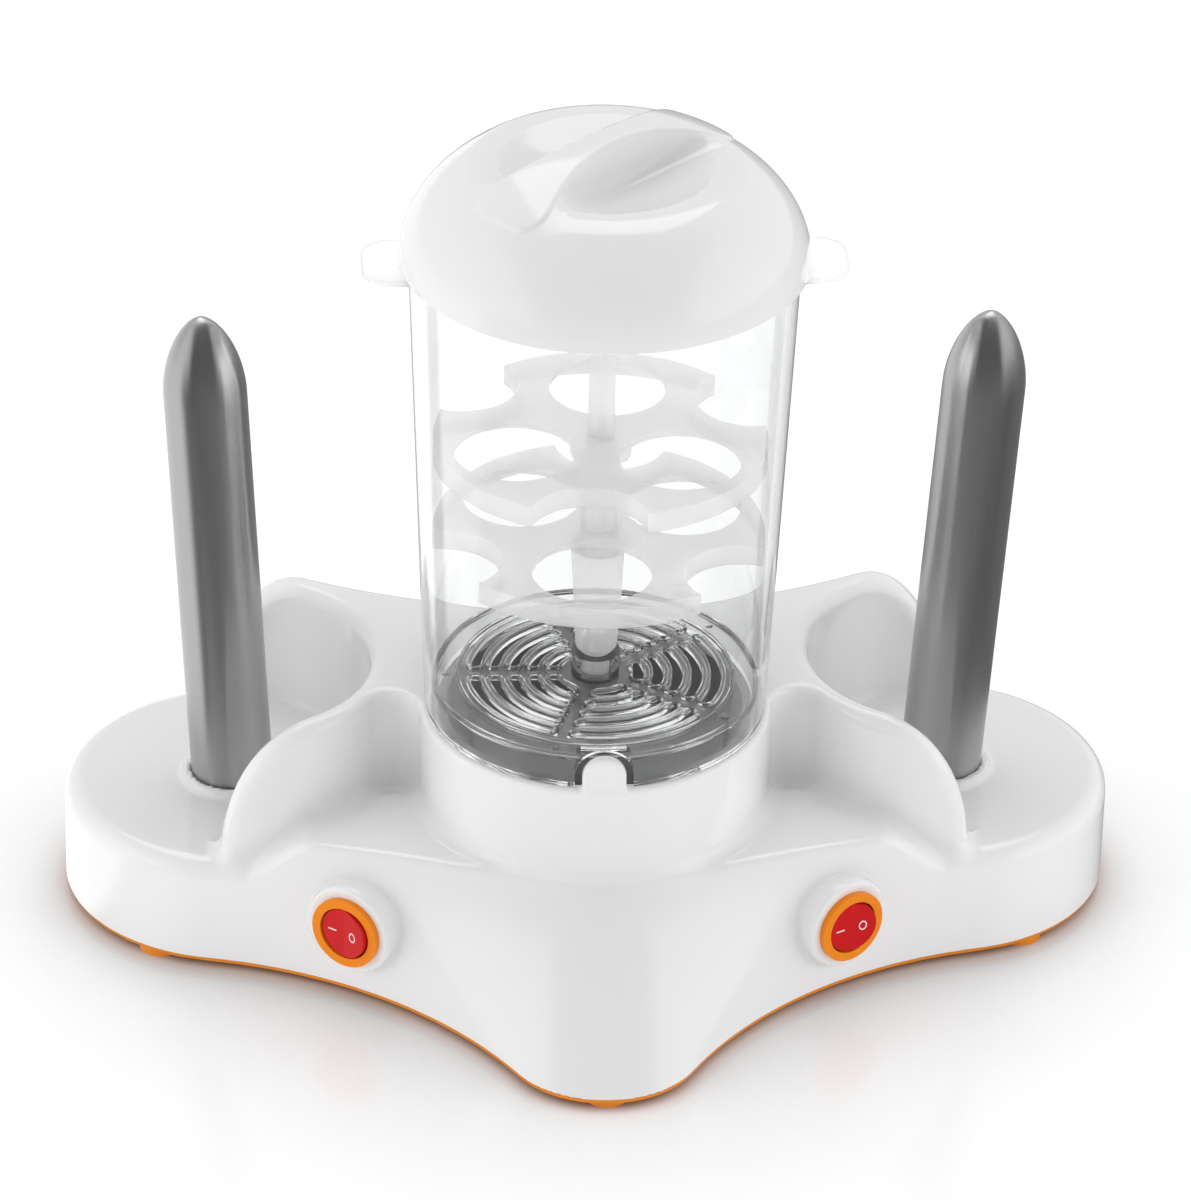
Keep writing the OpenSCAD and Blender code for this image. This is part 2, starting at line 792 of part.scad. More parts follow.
// Both rockers stand with the end on the viewer's left pressed in
module switch_rocker(side) {
    rise = rocker_r * tan(rocker_dish);
    face = 1.2;
    depth = 5;
    turn = [0, -side * rocker_tilt, 0];
    color(red) placed() scale_x(side) switch_frame() translate([0, 0, pivot_z]) rotate(turn) {
        intersection() {
            sphere(r = rocker_r);
            rotate([90, 0, 0]) linear_extrude(4 * rocker_r, center = true) polygon([
                [-rocker_r, -depth], [rocker_r, -depth],
                [rocker_r, face + rise], [0, face], [-rocker_r, face + rise]
            ]);
        }
        rotate([90, 0, 0]) cylinder(r = pin_r, h = 2 * (socket_reach - loose), center = true);
    }
}

case_len = 10;
module switch_case(side) {
    plug_len = 4;
    color(black) placed() scale_x(side) switch_frame() {
        disc(bore_r - loose, -barrel_len - case_len, -barrel_len + plug_len);
        disc(barrel_r, -barrel_len - case_len, -barrel_len);
    }
}

module switch_tabs(side) {
    tab = [4.8, 0.8, 8];
    pitch = 4.5;
    color(brass) placed() scale_x(side) switch_frame() for (y = [-pitch, 0, pitch])
        translate([-tab.x / 2, y - tab.y / 2, -barrel_len - case_len - tab.z]) cube(tab);
}

// Steam container
cyl_foot = deck_top + seat_gap;
cyl_top = cyl_foot + cyl_h;
function cyl_r_at(z) = cyl_r + (cyl_top_r - cyl_r) * (z - cyl_foot) / cyl_h;

module tab_arch() {
    half = tab_w / 2 + tab_gap;
    translate([0, -collar_r, 0]) rotate([90, 0, 0]) linear_extrude(6 * tab_t, center = true) union() {
        translate([-half, deck_top - over]) square([2 * half, tab_h - tab_w / 2 + over]);
        translate([0, deck_top + tab_h - tab_w / 2]) circle(r = half);
    }
}

lid_edge = cyl_top - lid_overlap;
ear_z = lid_edge - ear_gap - ear_t;

// A flat tab with round corners, just under the lid's edge
module ear() {
    straight = ear_reach - ear_corner;
    difference() {
        translate([0, 0, ear_z]) linear_extrude(ear_t) union() {
            translate([0, -ear_w / 2]) square([straight, ear_w]);
            translate([0, ear_corner - ear_w / 2]) square([ear_reach, ear_w - 2 * ear_corner]);
            for (k = [-1, 1]) translate([straight, k * (ear_w / 2 - ear_corner)]) circle(r = ear_corner);
        }
        disc(cyl_r_at(ear_z) - cyl_wall / 2, 0, 2 * cyl_top);
    }
}

module steam_cylinder() {
    color(clear) placed() difference() {
        union() {
            rotate_extrude($fn = 128) polygon([
                [cyl_r - cyl_wall, cyl_foot], [cyl_r, cyl_foot],
                [cyl_top_r, cyl_top], [cyl_top_r - cyl_wall, cyl_top]
            ]);
            both_sides() ear();
        }
        tab_arch();
    }
}

grid_top = deck_top + grid_h;
grid_r = cyl_r - cyl_wall - loose;
post_bore_r = 4.4;
spoke_turn = 36;
module drip_grid() {
    color(clear) placed() difference() {
        union() {
            disc(grid_r, grid_top - grid_t, grid_top);
            ring(grid_r, grid_r - grid_t, cyl_foot, grid_top);
        }
        difference() {
            for (i = [0 : slot_rings - 1]) let (r = slot_r + slot_pitch * i)
                ring(r + slot_w / 2, r - slot_w / 2, grid_top - grid_t - over, grid_top + over);
            for (i = [0 : spokes - 1]) rotate([0, 0, spoke_turn + 360 * i / spokes])
                translate([0, -spoke_w / 2, 0]) cube([grid_r, spoke_w, 2 * grid_top]);
        }
        tab_arch();
    }
}

// The post stands on the middle of the grid and takes the rack's spigot
module grid_post() {
    color(clear) placed() ring(post_r, post_bore_r, grid_top, grid_top + post_h);
}

// Sausage rack
column_foot = grid_top + post_h + seat_gap;
lower_z = grid_top + lower_tier_h;
upper_z = grid_top + upper_tier_h;
module rack_column() {
    spigot_r = post_bore_r - seat_gap;
    spigot_z = grid_top + 2;
    foot_round = 3;
    color(frosted) placed() rotate_extrude() polygon(concat(
        [[0, spigot_z], [spigot_r, spigot_z], [spigot_r, column_foot]],
        [for (i = [0 : 6]) let (t = 15 * i)
            [column_r - foot_round * (1 - sin(t)), column_foot + foot_round * (1 - cos(t))]],
        [[shoulder_r, lower_z], [shaft_r, lower_z], [shaft_r, upper_z], [stem_r, upper_z],
            [stem_r, grid_top + stem_h - stem_r]],
        arc([0, grid_top + stem_h - stem_r], stem_r, 0, 90, 6)
    ));
}

tier_r = cyl_r_at(lower_z) - cyl_wall - tier_gap;
hole_reach = tier_r - tier_t - hole_edge - hole_r;
scallop_reach = tier_r - scallop_depth + scallop_r;
module tier_plan(inset) {
    difference() {
        circle(r = tier_r - inset, $fn = 128);
        for (i = [0 : holes - 1]) rotate(360 * (i + 0.5) / holes)
            translate([scallop_reach, 0]) circle(r = scallop_r + inset);
    }
}

// A thin plate with a skirt round its rim, a hub, and holes between its scallops
module tier(z, turn, bore_r) {
    hub_r = shoulder_r + 1;
    color(frosted) placed() translate([0, 0, z]) rotate([0, 0, turn]) difference() {
        union() {
            difference() {
                linear_extrude(tier_h) tier_plan(0);
                translate([0, 0, -over]) linear_extrude(tier_h - tier_t + over) tier_plan(tier_t);
            }
            disc(hub_r, 0, tier_h);
        }
        for (i = [0 : holes - 1]) rotate([0, 0, 360 * i / holes]) translate([hole_reach, 0, -over])
            cylinder(r = hole_r, h = tier_h + 2 * over);
        disc(bore_r, -over, tier_h + over);
    }
}

module rack_lower_tier() {
    tier(lower_z, rack_turn, shaft_r + fit);
}

// The upper tier's holes stand over the lower tier's scallops
module rack_upper_tier() {
    tier(upper_z, rack_turn + 180 / holes, stem_r + fit);
}

// Lid
lid_top = lid_edge + dome_h;
dome_steps = 20;
function dome(r, h) = [for (i = [0 : dome_steps])
    let (t = 90 * i / dome_steps)
    [r * cos(t), lid_edge + h * sin(t)]];

// The two scoops leave a grip between them that widens towards both ends
module finger_scoops(inset) {
    for (turn = [0, 180]) rotate([0, 0, grip_turn + turn])
        translate([0, 0, lid_top - finger_depth - inset]) linear_extrude(dome_h) intersection() {
            circle(r = finger_r + inset);
            translate([0, -grip_edge_r - grip_w / 2]) circle(r = grip_edge_r + inset, $fn = 128);
        }
}

module lid() {
    ledge_z = cyl_top + seat_gap;
    ledge_w = 1;
    ledge_r = cyl_top_r - cyl_wall - ledge_w;
    color(white) placed() difference() {
        rotate_extrude($fn = 128) polygon(concat([[0, lid_edge]], dome(lid_r, dome_h)));
        finger_scoops(0);
        intersection() {
            rotate_extrude($fn = 128) polygon(concat(
                [[0, lid_edge - over], [lid_r - lid_wall, lid_edge - over]],
                dome(lid_r - lid_wall, dome_h - lid_wall)
            ));
            disc(lid_r, 0, ledge_z);
        }
        difference() {
            intersection() {
                rotate_extrude($fn = 128) polygon(concat([[0, lid_edge]],
                    dome(lid_r - 2 * lid_wall, dome_h - lid_wall)));
                disc(ledge_r, ledge_z - over, lid_top);
            }
            finger_scoops(lid_wall);
        }
    }
}

body_shell();
apron();
collar();
deck(-1);  // deck_left
deck(1);  // deck_right
base_plate();
feet();
base_screws();
water_bowl();
bowl_seal();
bowl_bracket();
bowl_nut();
bowl_heater();
thermostat();
thermal_fuse();
terminal_block();
cord_gland();
cord_clamp();
clamp_screws();
bun_rod(-1);  // bun_rod_left
bun_rod(1);  // bun_rod_right
rod_heater(-1);  // rod_heater_left
rod_heater(1);  // rod_heater_right
rod_bush(-1);  // rod_bush_left
rod_bush(1);  // rod_bush_right
rod_nut(-1);  // rod_nut_left
rod_nut(1);  // rod_nut_right
switch_bezel(-1);  // switch_bezel_left
switch_bezel(1);  // switch_bezel_right
switch_rocker(-1);  // switch_rocker_left
switch_rocker(1);  // switch_rocker_right
switch_case(-1);  // switch_case_left
switch_case(1);  // switch_case_right
switch_tabs(-1);  // switch_tabs_left
switch_tabs(1);  // switch_tabs_right
steam_cylinder();
drip_grid();
grid_post();
rack_column();
rack_lower_tier();
rack_upper_tier();
lid();
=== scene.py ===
import json
import math

import bmesh
import bpy
import numpy as np
from mathutils import Matrix, Vector


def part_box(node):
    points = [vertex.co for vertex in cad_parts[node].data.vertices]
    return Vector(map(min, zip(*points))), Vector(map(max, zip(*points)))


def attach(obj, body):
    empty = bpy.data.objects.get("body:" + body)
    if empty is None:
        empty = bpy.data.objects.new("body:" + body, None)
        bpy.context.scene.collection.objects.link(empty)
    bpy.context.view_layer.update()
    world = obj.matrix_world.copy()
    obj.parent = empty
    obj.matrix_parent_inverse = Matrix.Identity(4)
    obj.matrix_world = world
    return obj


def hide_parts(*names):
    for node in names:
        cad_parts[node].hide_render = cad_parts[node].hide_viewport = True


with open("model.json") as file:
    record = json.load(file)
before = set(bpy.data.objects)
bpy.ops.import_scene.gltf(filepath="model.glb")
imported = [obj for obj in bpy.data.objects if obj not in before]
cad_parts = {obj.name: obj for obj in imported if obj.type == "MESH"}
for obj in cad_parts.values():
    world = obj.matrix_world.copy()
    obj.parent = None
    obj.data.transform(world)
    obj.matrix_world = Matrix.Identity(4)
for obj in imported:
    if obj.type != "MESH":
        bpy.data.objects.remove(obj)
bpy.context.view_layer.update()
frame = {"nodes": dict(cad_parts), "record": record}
nodes = frame["nodes"]
mm = 0.001
print("frame loaded:", len(nodes), "nodes")

# Where the container's axis stands in the frame, taken from the water bowl
bowlLow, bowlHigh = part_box("water_bowl")
axisY = (bowlLow.y + bowlHigh.y) / 2 / mm


# Camera at the photograph's angle, found from the circles and mirrored pairs in it
view = {
    "imageWidth": 1191, "imageHeight": 1200,
    "azimuth": -3.742, "elevation": 30.47, "roll": 1.333,
    "distance": 2233.8, "targetHeight": 120,
    "focalPixels": 7333.4, "axisPixelX": 597.39, "axisPixelY": 591.71,
}


def addCamera():
    data = bpy.data.cameras.new("photoCamera")
    camera = bpy.data.objects.new("photoCamera", data)
    bpy.context.scene.collection.objects.link(camera)
    a, e, roll = (math.radians(view[k]) for k in ("azimuth", "elevation", "roll"))
    back = Vector((math.sin(a) * math.cos(e), -math.cos(a) * math.cos(e), math.sin(e)))
    right = Vector((math.cos(a), math.sin(a), 0))
    up = back.cross(right)
    tiltedRight = math.cos(roll) * right + math.sin(roll) * up
    tiltedUp = math.cos(roll) * up - math.sin(roll) * right
    place = Vector((0, axisY, view["targetHeight"])) + back * view["distance"]
    facing = Matrix((tiltedRight, tiltedUp, back)).transposed().to_4x4()
    camera.matrix_world = Matrix.Translation(place * mm) @ facing
    longSide = max(view["imageWidth"], view["imageHeight"])
    data.sensor_width = 36
    data.lens = view["focalPixels"] / longSide * data.sensor_width
    data.shift_x = (view["imageWidth"] / 2 - view["axisPixelX"]) / longSide
    data.shift_y = (view["axisPixelY"] - view["imageHeight"] / 2) / longSide
    data.clip_start, data.clip_end = 0.05, 20
    bpy.context.scene.camera = camera


addCamera()
print("camera placed")


# Shaped solids are written as distance fields, in mm from the container's axis, and meshed
def roundedMeet(a, b, r):
    return np.minimum(np.maximum(a, b), -r) + np.hypot(np.maximum(a + r, 0), np.maximum(b + r, 0))


def roundedJoin(a, b, r):
    return np.maximum(np.minimum(a, b), r) - np.hypot(np.maximum(r - a, 0), np.maximum(r - b, 0))


def roundedCut(a, b, r):
    return roundedMeet(a, -b, r)


def easeOver(value, start, end):
    # 0 at start and 1 at end, with a soft beginning and a soft end
    t = np.clip((value - start) / (end - start), 0, 1)
    return t * t * (3 - 2 * t)


def oval(across, high, wide, tall):
    # about the distance to an oval with the given half sizes
    reach = np.hypot(across / wide, high / tall)
    steep = np.hypot(across / wide ** 2, high / tall ** 2)
    return reach * (reach - 1) / np.maximum(steep, 1e-6)


def turning(ax, ay, bx, by):
    return ax * by - ay * bx


def touchingCircle(ax, ay, ra, bx, by, rb, r):
    # centre of the circle of radius r that touches two others, on the right of the way from a to b
    span = np.hypot(bx - ax, by - ay)
    ux, uy = (bx - ax) / span, (by - ay) / span
    along = ((r + ra) ** 2 - (r + rb) ** 2 + span ** 2) / (2 * span)
    off = np.sqrt((r + ra) ** 2 - along ** 2)
    return ax + along * ux + off * uy, ay + along * uy - off * ux


def netOver(field, low, step):
    # one vertex in each cell that the surface passes, one quad across each crossed grid edge
    size = np.array(field.shape) - 1
    total = np.zeros(tuple(size) + (3,))
    count = np.zeros(tuple(size))
    crossings = []
    for axis in range(3):
        a = np.moveaxis(field, axis, 0)
        crossed = (a[:-1] < 0) != (a[1:] < 0)
        where = np.argwhere(crossed)
        first = a[:-1][crossed]
        part = first / (first - a[1:][crossed])
        others = [k for k in range(3) if k != axis]
        at = np.zeros((len(where), 3), int)
        at[:, axis], at[:, others[0]], at[:, others[1]] = where.T
        point = at.astype(float)
        point[:, axis] += part
        for i in (0, 1):
            for j in (0, 1):
                cell = at.copy()
                cell[:, others[0]] -= i
                cell[:, others[1]] -= j
                ok = ((cell >= 0) & (cell < size)).all(1)
                index = tuple(cell[ok].T)
                np.add.at(total, index, point[ok])
                np.add.at(count, index, 1)
        crossings.append((axis, others, at, first < 0))
    used = count > 0
    number = np.full(tuple(size), -1)
    number[used] = np.arange(used.sum())
    points = np.array(low) + step * total[used] / count[used][:, None]
    faces = []
    for axis, others, at, leaving in crossings:
        ok = ((at[:, others] > 0) & (at[:, others] < size[others])).all(1) & (at[:, axis] < size[axis])
        corner = []
        for i, j in ((0, 0), (1, 0), (1, 1), (0, 1)):
            cell = at[ok].copy()
            cell[:, others[0]] -= i
            cell[:, others[1]] -= j
            corner.append(number[tuple(cell.T)])
        quad = np.stack(corner, 1)
        flip = leaving[ok] if axis != 1 else ~leaving[ok]
        quad[~flip] = quad[~flip][:, ::-1]
        faces.append(quad)
    return points, np.concatenate(faces)


def slopeOf(shape, points, reach=0.05):
    slope = np.zeros_like(points)
    for axis in range(3):
        shift = np.zeros(3)
        shift[axis] = reach
        slope[:, axis] = (shape(*(points + shift).T) - shape(*(points - shift).T)) / (2 * reach)
    return slope


def solidFrom(name, shape, low, high, step, foot):
    # meshes the field and cuts it off level at its foot
    sides = [np.arange(a, b + step, step) for a, b in zip(low, high)]
    field = shape(sides[0][:, None, None], sides[1][None, :, None], sides[2][None, None, :])
    points, faces = netOver(field, low, step)
    for _ in range(2):  # draw the vertices towards the surface itself
        slope = slopeOf(shape, points)
        steep = np.maximum((slope ** 2).sum(1), 0.5)
        move = np.clip(shape(*points.T) / steep, -step / 4, step / 4)
        points = points - move[:, None] * slope
    mesh = bpy.data.meshes.new(name)
    mesh.from_pydata(points.tolist(), [], faces.tolist())
    form = bmesh.new()
    form.from_mesh(mesh)
    parts = form.verts[:] + form.edges[:] + form.faces[:]
    cut = bmesh.ops.bisect_plane(
        form, geom=parts, plane_co=(0, 0, foot), plane_no=(0, 0, 1), clear_inner=True)
    rim = [e for e in cut["geom_cut"] if isinstance(e, bmesh.types.BMEdge)]
    bmesh.ops.triangle_fill(form, use_beauty=True, edges=rim, normal=(0, 0, -1))
    form.to_mesh(mesh)
    form.free()
    points = np.zeros(3 * len(mesh.vertices))
    mesh.vertices.foreach_get("co", points)
    points = points.reshape(-1, 3)
    normals = slopeOf(shape, points, step / 3)
    normals = normals / np.maximum(np.linalg.norm(normals, axis=1), 1e-6)[:, None]
    # the net's own normals take over where the field's slope is unsure
    facing = np.zeros(3 * len(points))
    mesh.vertices.foreach_get("normal", facing)
    facing = facing.reshape(-1, 3)
    sure = (normals * facing).sum(1) > 0.5
    normals = np.where(sure[:, None], normals, facing)
    mesh.vertices.foreach_set("co", ((points + [0, axisY, 0]) * mm).ravel())
    mesh.polygons.foreach_set("use_smooth", [True] * len(mesh.polygons))
    mesh.normals_split_custom_set_from_vertices(normals.tolist())
    piece = bpy.data.objects.new(name, mesh)
    bpy.context.scene.collection.objects.link(piece)
    print(name, len(points), "points")
    return piece


# The white body: prow, lobes and deck flow into each other. A pair says where a blend starts and ends,
# deep is the field's value well inside, and sunk is how far raised forms run on into the body
shell = {
    "noseR": 31, "noseReach": 73.3, "noseTopReach": 25, "foot": 4,
    "lobeR": 54.5, "lobeX": 109, "lobeY": 30, "lobeTop": 38, "lobeRound": 6,
    "flankR": 140, "flankTopR": 1500, "backR": 190.8, "deep": -30,
    "apronTop": 50, "apronAcross": (109, 86), "apronAlong": (25, -5), "creaseRound": 2.2,
    "collarR": 54, "collarRound": 1.6, "collarBlend": (55, 67),
    "deckTop": 82, "deckHalf": 87.5, "deckFootHalf": 115, "deckRound": 4.5, "deckFillet": 5, "backStep": 2,
    "armR": 51.5, "armBlend": 40, "valleyR": 8,
    "scoopR": 43, "scoopRound": 4, "scoopEdge": (1, 15),
    "rodX": 111.1, "rodY": 30.2, "rodLean": 3.2, "bushR": 12.5,
    "seatR": 15.6, "seatH": 2.2, "seatRound": 0.8, "seatFillet": 2,
    "tabW": 13.4, "tabH": 11, "tabT": 3.6, "tabFlat": 0.2, "tabRound": 1.2, "tabBackRound": 1,
    "switchX": 76.9, "switchY": -43, "switchZ": 25.9, "switchTurn": 34, "barrelR": 10.05,
    "bossR": 14.75, "bossDepth": 14, "bossRound": 1.4, "bossFillet": 1.2,
    "glandR": 5.55, "glandZ": 20, "glandDepth": 20, "padR": 9, "padH": 1.5, "padRound": 0.6,
    "smallFillet": 0.8, "sunk": 4, "holeRound": 0.4,
    "openingR": 47, "openingZ": 60, "openingRound": 0.5, "rimR": 50, "rimZ": 79.8,
    "wall": 3.2, "frontWall": 1.5, "frontWallY": (-5, -25), "frontWallZ": (56, 50),
    "collarWall": 3.5, "collarWallZ": (68, 76), "collarWallR": (62, 56),
    "low": (-166, -107, 1.5), "high": (166, 88, 96), "step": 1.25,
}
# centre of the back's hollow curve, which touches both lobes, and the back wall's place on the middle line
shell["backY"] = shell["lobeY"] + math.sqrt((shell["backR"] + shell["lobeR"]) ** 2 - shell["lobeX"] ** 2)
shell["backWallY"] = shell["backY"] - shell["backR"]


def prowAndLobes(x, y, z):
    s = shell
    level = np.clip(z, s["foot"], s["apronTop"])
    rise = (level - s["foot"]) / (s["apronTop"] - s["foot"])
    noseY = -s["noseReach"] + (s["noseReach"] - s["noseTopReach"]) * rise
    flankR = 1 / ((1 - rise) / s["flankR"] + rise / s["flankTopR"])
    lobeX, lobeY, backY = s["lobeX"], s["lobeY"], s["backY"]
    flankX, flankY = touchingCircle(0, noseY, s["noseR"], lobeX, lobeY, s["lobeR"], flankR)
    nose = np.hypot(x, y - noseY) - s["noseR"]
    lobe = np.hypot(x - lobeX, y - lobeY) - s["lobeR"]
    flank = flankR - np.hypot(x - flankX, y - flankY)
    back = s["backR"] - np.hypot(x, y - backY)
    betweenFront = (
        (turning(flankX, flankY - noseY, x, y - noseY) >= 0)
        & (turning(lobeX - flankX, lobeY - flankY, x - flankX, y - flankY) >= 0)
        & (turning(-lobeX, noseY - lobeY, x - lobeX, y - lobeY) >= 0)
    )
    betweenBack = (y > lobeY) & (turning(-lobeX, backY - lobeY, x - lobeX, y - lobeY) >= 0)
    middle = (y <= lobeY) & (turning(lobeX, lobeY - noseY, x, y - noseY) >= 0)
    plan = np.where(middle, s["deep"], np.minimum(nose, lobe))
    plan = np.where(betweenFront, flank, plan)
    plan = np.where(betweenBack, back, plan)
    apron = easeOver(x, *s["apronAcross"]) * easeOver(y, *s["apronAlong"])
    top = z - s["lobeTop"] - (s["apronTop"] - s["lobeTop"]) * apron
    edge = s["lobeRound"] + (s["creaseRound"] - s["lobeRound"]) * apron
    return roundedMeet(plan, top, edge)


def deckAndArms(x, y, z):
    s = shell
    rodX, rodY, backY = s["rodX"], s["rodY"], s["backY"]
    valleyX, valleyY = touchingCircle(0, 0, s["collarR"], rodX, rodY, s["armR"], s["valleyR"])
    fromAxis = np.hypot(x, y)
    backReach = math.hypot(rodX, backY - rodY) - s["backR"] - s["backStep"]
    armR = s["armR"] + (backReach - s["armR"]) * easeOver(y - rodY, 0, s["armBlend"])
    plan = np.minimum(fromAxis - s["collarR"], np.hypot(x - rodX, y - rodY) - armR)
    inner = (turning(rodX, rodY, x, y) >= 0) & (turning(-rodX, backY - rodY, x - rodX, y - rodY) >= 0)
    valley = (
        (turning(valleyX, valleyY, x, y) >= 0)
        & (turning(rodX - valleyX, rodY - valleyY, x - valleyX, y - valleyY) >= 0)
        & (turning(-rodX, -rodY, x - rodX, y - rodY) >= 0)
    )
    back = s["backR"] + s["backStep"] - np.hypot(x, y - backY)
    plan = np.where(inner, np.maximum(s["deep"], back), plan)
    plan = np.where(valley, s["valleyR"] - np.hypot(x - valleyX, y - valleyY), plan)
    wide, tall = s["deckFootHalf"] - s["deckHalf"], s["deckTop"] - s["lobeTop"]
    ends = oval(np.maximum(x - s["deckHalf"], 0), np.maximum(z - s["lobeTop"], 0), wide, tall)
    top = np.where(x > s["deckHalf"], ends, z - s["deckTop"])
    edge = s["collarRound"] + (s["deckRound"] - s["collarRound"]) * easeOver(fromAxis, *s["collarBlend"])
    return roundedMeet(plan, top, edge)


def switchPlace(x, y, z):
    # distance along and across the switch's own axis
    s = shell
    turn = math.radians(s["switchTurn"])
    dx, dy, dz = x - s["switchX"], y - s["switchY"], z - s["switchZ"]
    along = dx * math.sin(turn) - dy * math.cos(turn)
    across = np.hypot(dx * math.cos(turn) + dy * math.sin(turn), dz)
    return along, across


def rodSeat(fromRod, z):
    s = shell
    seat = roundedMeet(fromRod - s["seatR"], z - s["lobeTop"] - s["seatH"], s["seatRound"])
    return np.maximum(seat, s["lobeTop"] - s["sunk"] - z)


def switchBoss(along, across):
    s = shell
    return np.maximum(roundedMeet(across - s["bossR"], along, s["bossRound"]), -along - s["bossDepth"])


def locatingTab(x, y, z):
    s = shell
    archZ = s["deckTop"] + s["tabH"] - s["tabW"] / 2
    arch = np.where(z > archZ, np.hypot(x, z - archZ), np.abs(x)) - s["tabW"] / 2
    face = np.maximum(np.hypot(x, y) - s["collarR"], -y - s["collarR"] + s["tabFlat"])
    tab = roundedMeet(roundedMeet(arch, face, s["tabRound"]), s["collarR"] - s["tabT"] + y, s["tabBackRound"])
    return np.maximum(tab, s["deckTop"] - s["sunk"] - z)


def glandPad(fromGland, y):
    s = shell
    pad = roundedMeet(fromGland - s["padR"], y - s["backWallY"] - s["padH"], s["padRound"])
    return np.maximum(pad, s["backWallY"] - s["sunk"] - y)


def hollowed(body, y, z, fromAxis):
    # the wall is thicker behind the front and round the collar
    s = shell
    thick = s["wall"] + s["frontWall"] * easeOver(y, *s["frontWallY"]) * easeOver(z, *s["frontWallZ"])
    thick = thick + s["collarWall"] * easeOver(z, *s["collarWallZ"]) * easeOver(fromAxis, *s["collarWallR"])
    return np.maximum(body, -(body + thick))


def bodyShape(x, y, z):
    s = shell
    side = np.abs(x)
    fromAxis = np.hypot(x, y)
    fromRod = np.hypot(side - s["rodX"], y - s["rodY"])
    fromGland = np.hypot(x, z - s["glandZ"])
    along, across = switchPlace(side, y, z)
    body = roundedJoin(prowAndLobes(side, y, z), deckAndArms(side, y, z), s["deckFillet"])
    scoop = roundedMeet(fromRod - s["scoopR"], s["lobeTop"] - z, s["scoopRound"])
    body = roundedCut(body, scoop, s["deckRound"] * easeOver(z - s["lobeTop"], *s["scoopEdge"]))
    body = roundedJoin(body, rodSeat(fromRod, z), s["seatFillet"])
    body = roundedJoin(body, switchBoss(along, across), s["bossFillet"])
    body = roundedJoin(body, locatingTab(x, y, z), s["smallFillet"])
    body = roundedJoin(body, glandPad(fromGland, y), s["smallFillet"])
    body = hollowed(body, y, z, fromAxis)
    body = roundedCut(body, np.maximum(fromAxis - s["openingR"], s["openingZ"] - z), s["openingRound"])
    body = roundedCut(body, np.maximum(fromAxis - s["rimR"], s["rimZ"] - z), s["holeRound"])
    lean = math.radians(s["rodLean"])
    bushX = (side - s["rodX"]) * math.cos(lean) - (z - s["lobeTop"]) * math.sin(lean)
    body = roundedCut(body, np.hypot(bushX, y - s["rodY"]) - s["bushR"], s["holeRound"])
    barrel = np.maximum(across - s["barrelR"], -along - 2 * s["bossDepth"])
    body = roundedCut(body, barrel, s["holeRound"])
    inlet = np.maximum(fromGland - s["glandR"], s["backWallY"] - s["glandDepth"] - y)
    return roundedCut(body, inlet, s["holeRound"])


bodyPiece = solidFrom("bodyShell", bodyShape, shell["low"], shell["high"], shell["step"], shell["foot"])
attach(bodyPiece, "base")
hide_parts("body_shell", "apron", "collar", "deck_left", "deck_right")


# The lid: a dome with a flat rim and a bowl on each side of the grip
lidForm = {
    "edge": 235.7, "r": 61.3, "h": 39.7, "wall": 1.7,
    "gripTurn": 42, "gripEdgeR": 86, "gripW": 8, "gripRound": 1.8,
    "rimZ": 266.4, "bowlR": 32, "bowlDepth": 6.5, "bowlRound": 6,
    "tongueReach": 45.5, "tongueRise": 0.8, "tongueRound": 9, "tongueEdge": 0.8, "tongueFoot": 6,
    "tongueFillet": 0.5,
    "low": (-64, -64, 233), "high": (64, 64, 279), "step": 0.8,
}


def lidShape(x, y, z):
    f = lidForm
    fromAxis = np.hypot(x, y)
    dome = oval(fromAxis, np.maximum(z - f["edge"], 0), f["r"], f["h"])
    turn = math.radians(f["gripTurn"])
    along = x * math.cos(turn) + y * math.sin(turn)
    across = y * math.cos(turn) - x * math.sin(turn)
    floor = f["rimZ"] - f["bowlDepth"] * np.clip(1 - (fromAxis / f["bowlR"]) ** 2, 0, 1)
    edgeAt = f["gripEdgeR"] + f["gripW"] / 2
    scoops = [np.hypot(along, across * side + edgeAt) - f["gripEdgeR"] for side in (-1, 1)]
    lid = dome
    for scoop in scoops:
        lid = roundedCut(lid, roundedMeet(scoop, floor - z, f["bowlRound"]), f["gripRound"])
    grip = -np.minimum(*scoops)
    tongue = roundedMeet(grip, fromAxis - f["tongueReach"], f["tongueRound"])
    raised = roundedMeet(dome - f["tongueRise"], tongue, f["tongueEdge"])
    raised = np.maximum(raised, f["edge"] + f["tongueFoot"] - z)
    lid = roundedJoin(lid, raised, f["tongueFillet"])
    return np.maximum(lid, -(lid + f["wall"]))


lidPiece = solidFrom("lidDome", lidShape, lidForm["low"], lidForm["high"], lidForm["step"], lidForm["edge"])
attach(lidPiece, "lid")
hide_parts("lid")


# Mesh pieces built from rings of points, in mm from the container's axis
def inFrame(x, y, z):
    return (x * mm, (axisY + y) * mm, z * mm)


def smoothShape(mesh):
    mesh.polygons.foreach_set("use_smooth", [True] * len(mesh.polygons))
    mesh.set_sharp_from_angle(angle=math.radians(38))


def newPiece(name, build):
    mesh = bpy.data.meshes.new(name)
    shape = bmesh.new()
    build(shape)
    bmesh.ops.remove_doubles(shape, verts=shape.verts, dist=1e-6)
    bmesh.ops.recalc_face_normals(shape, faces=shape.faces)
    shape.to_mesh(mesh)
    shape.free()
    smoothShape(mesh)
    piece = bpy.data.objects.new(name, mesh)
    bpy.context.scene.collection.objects.link(piece)
    return piece


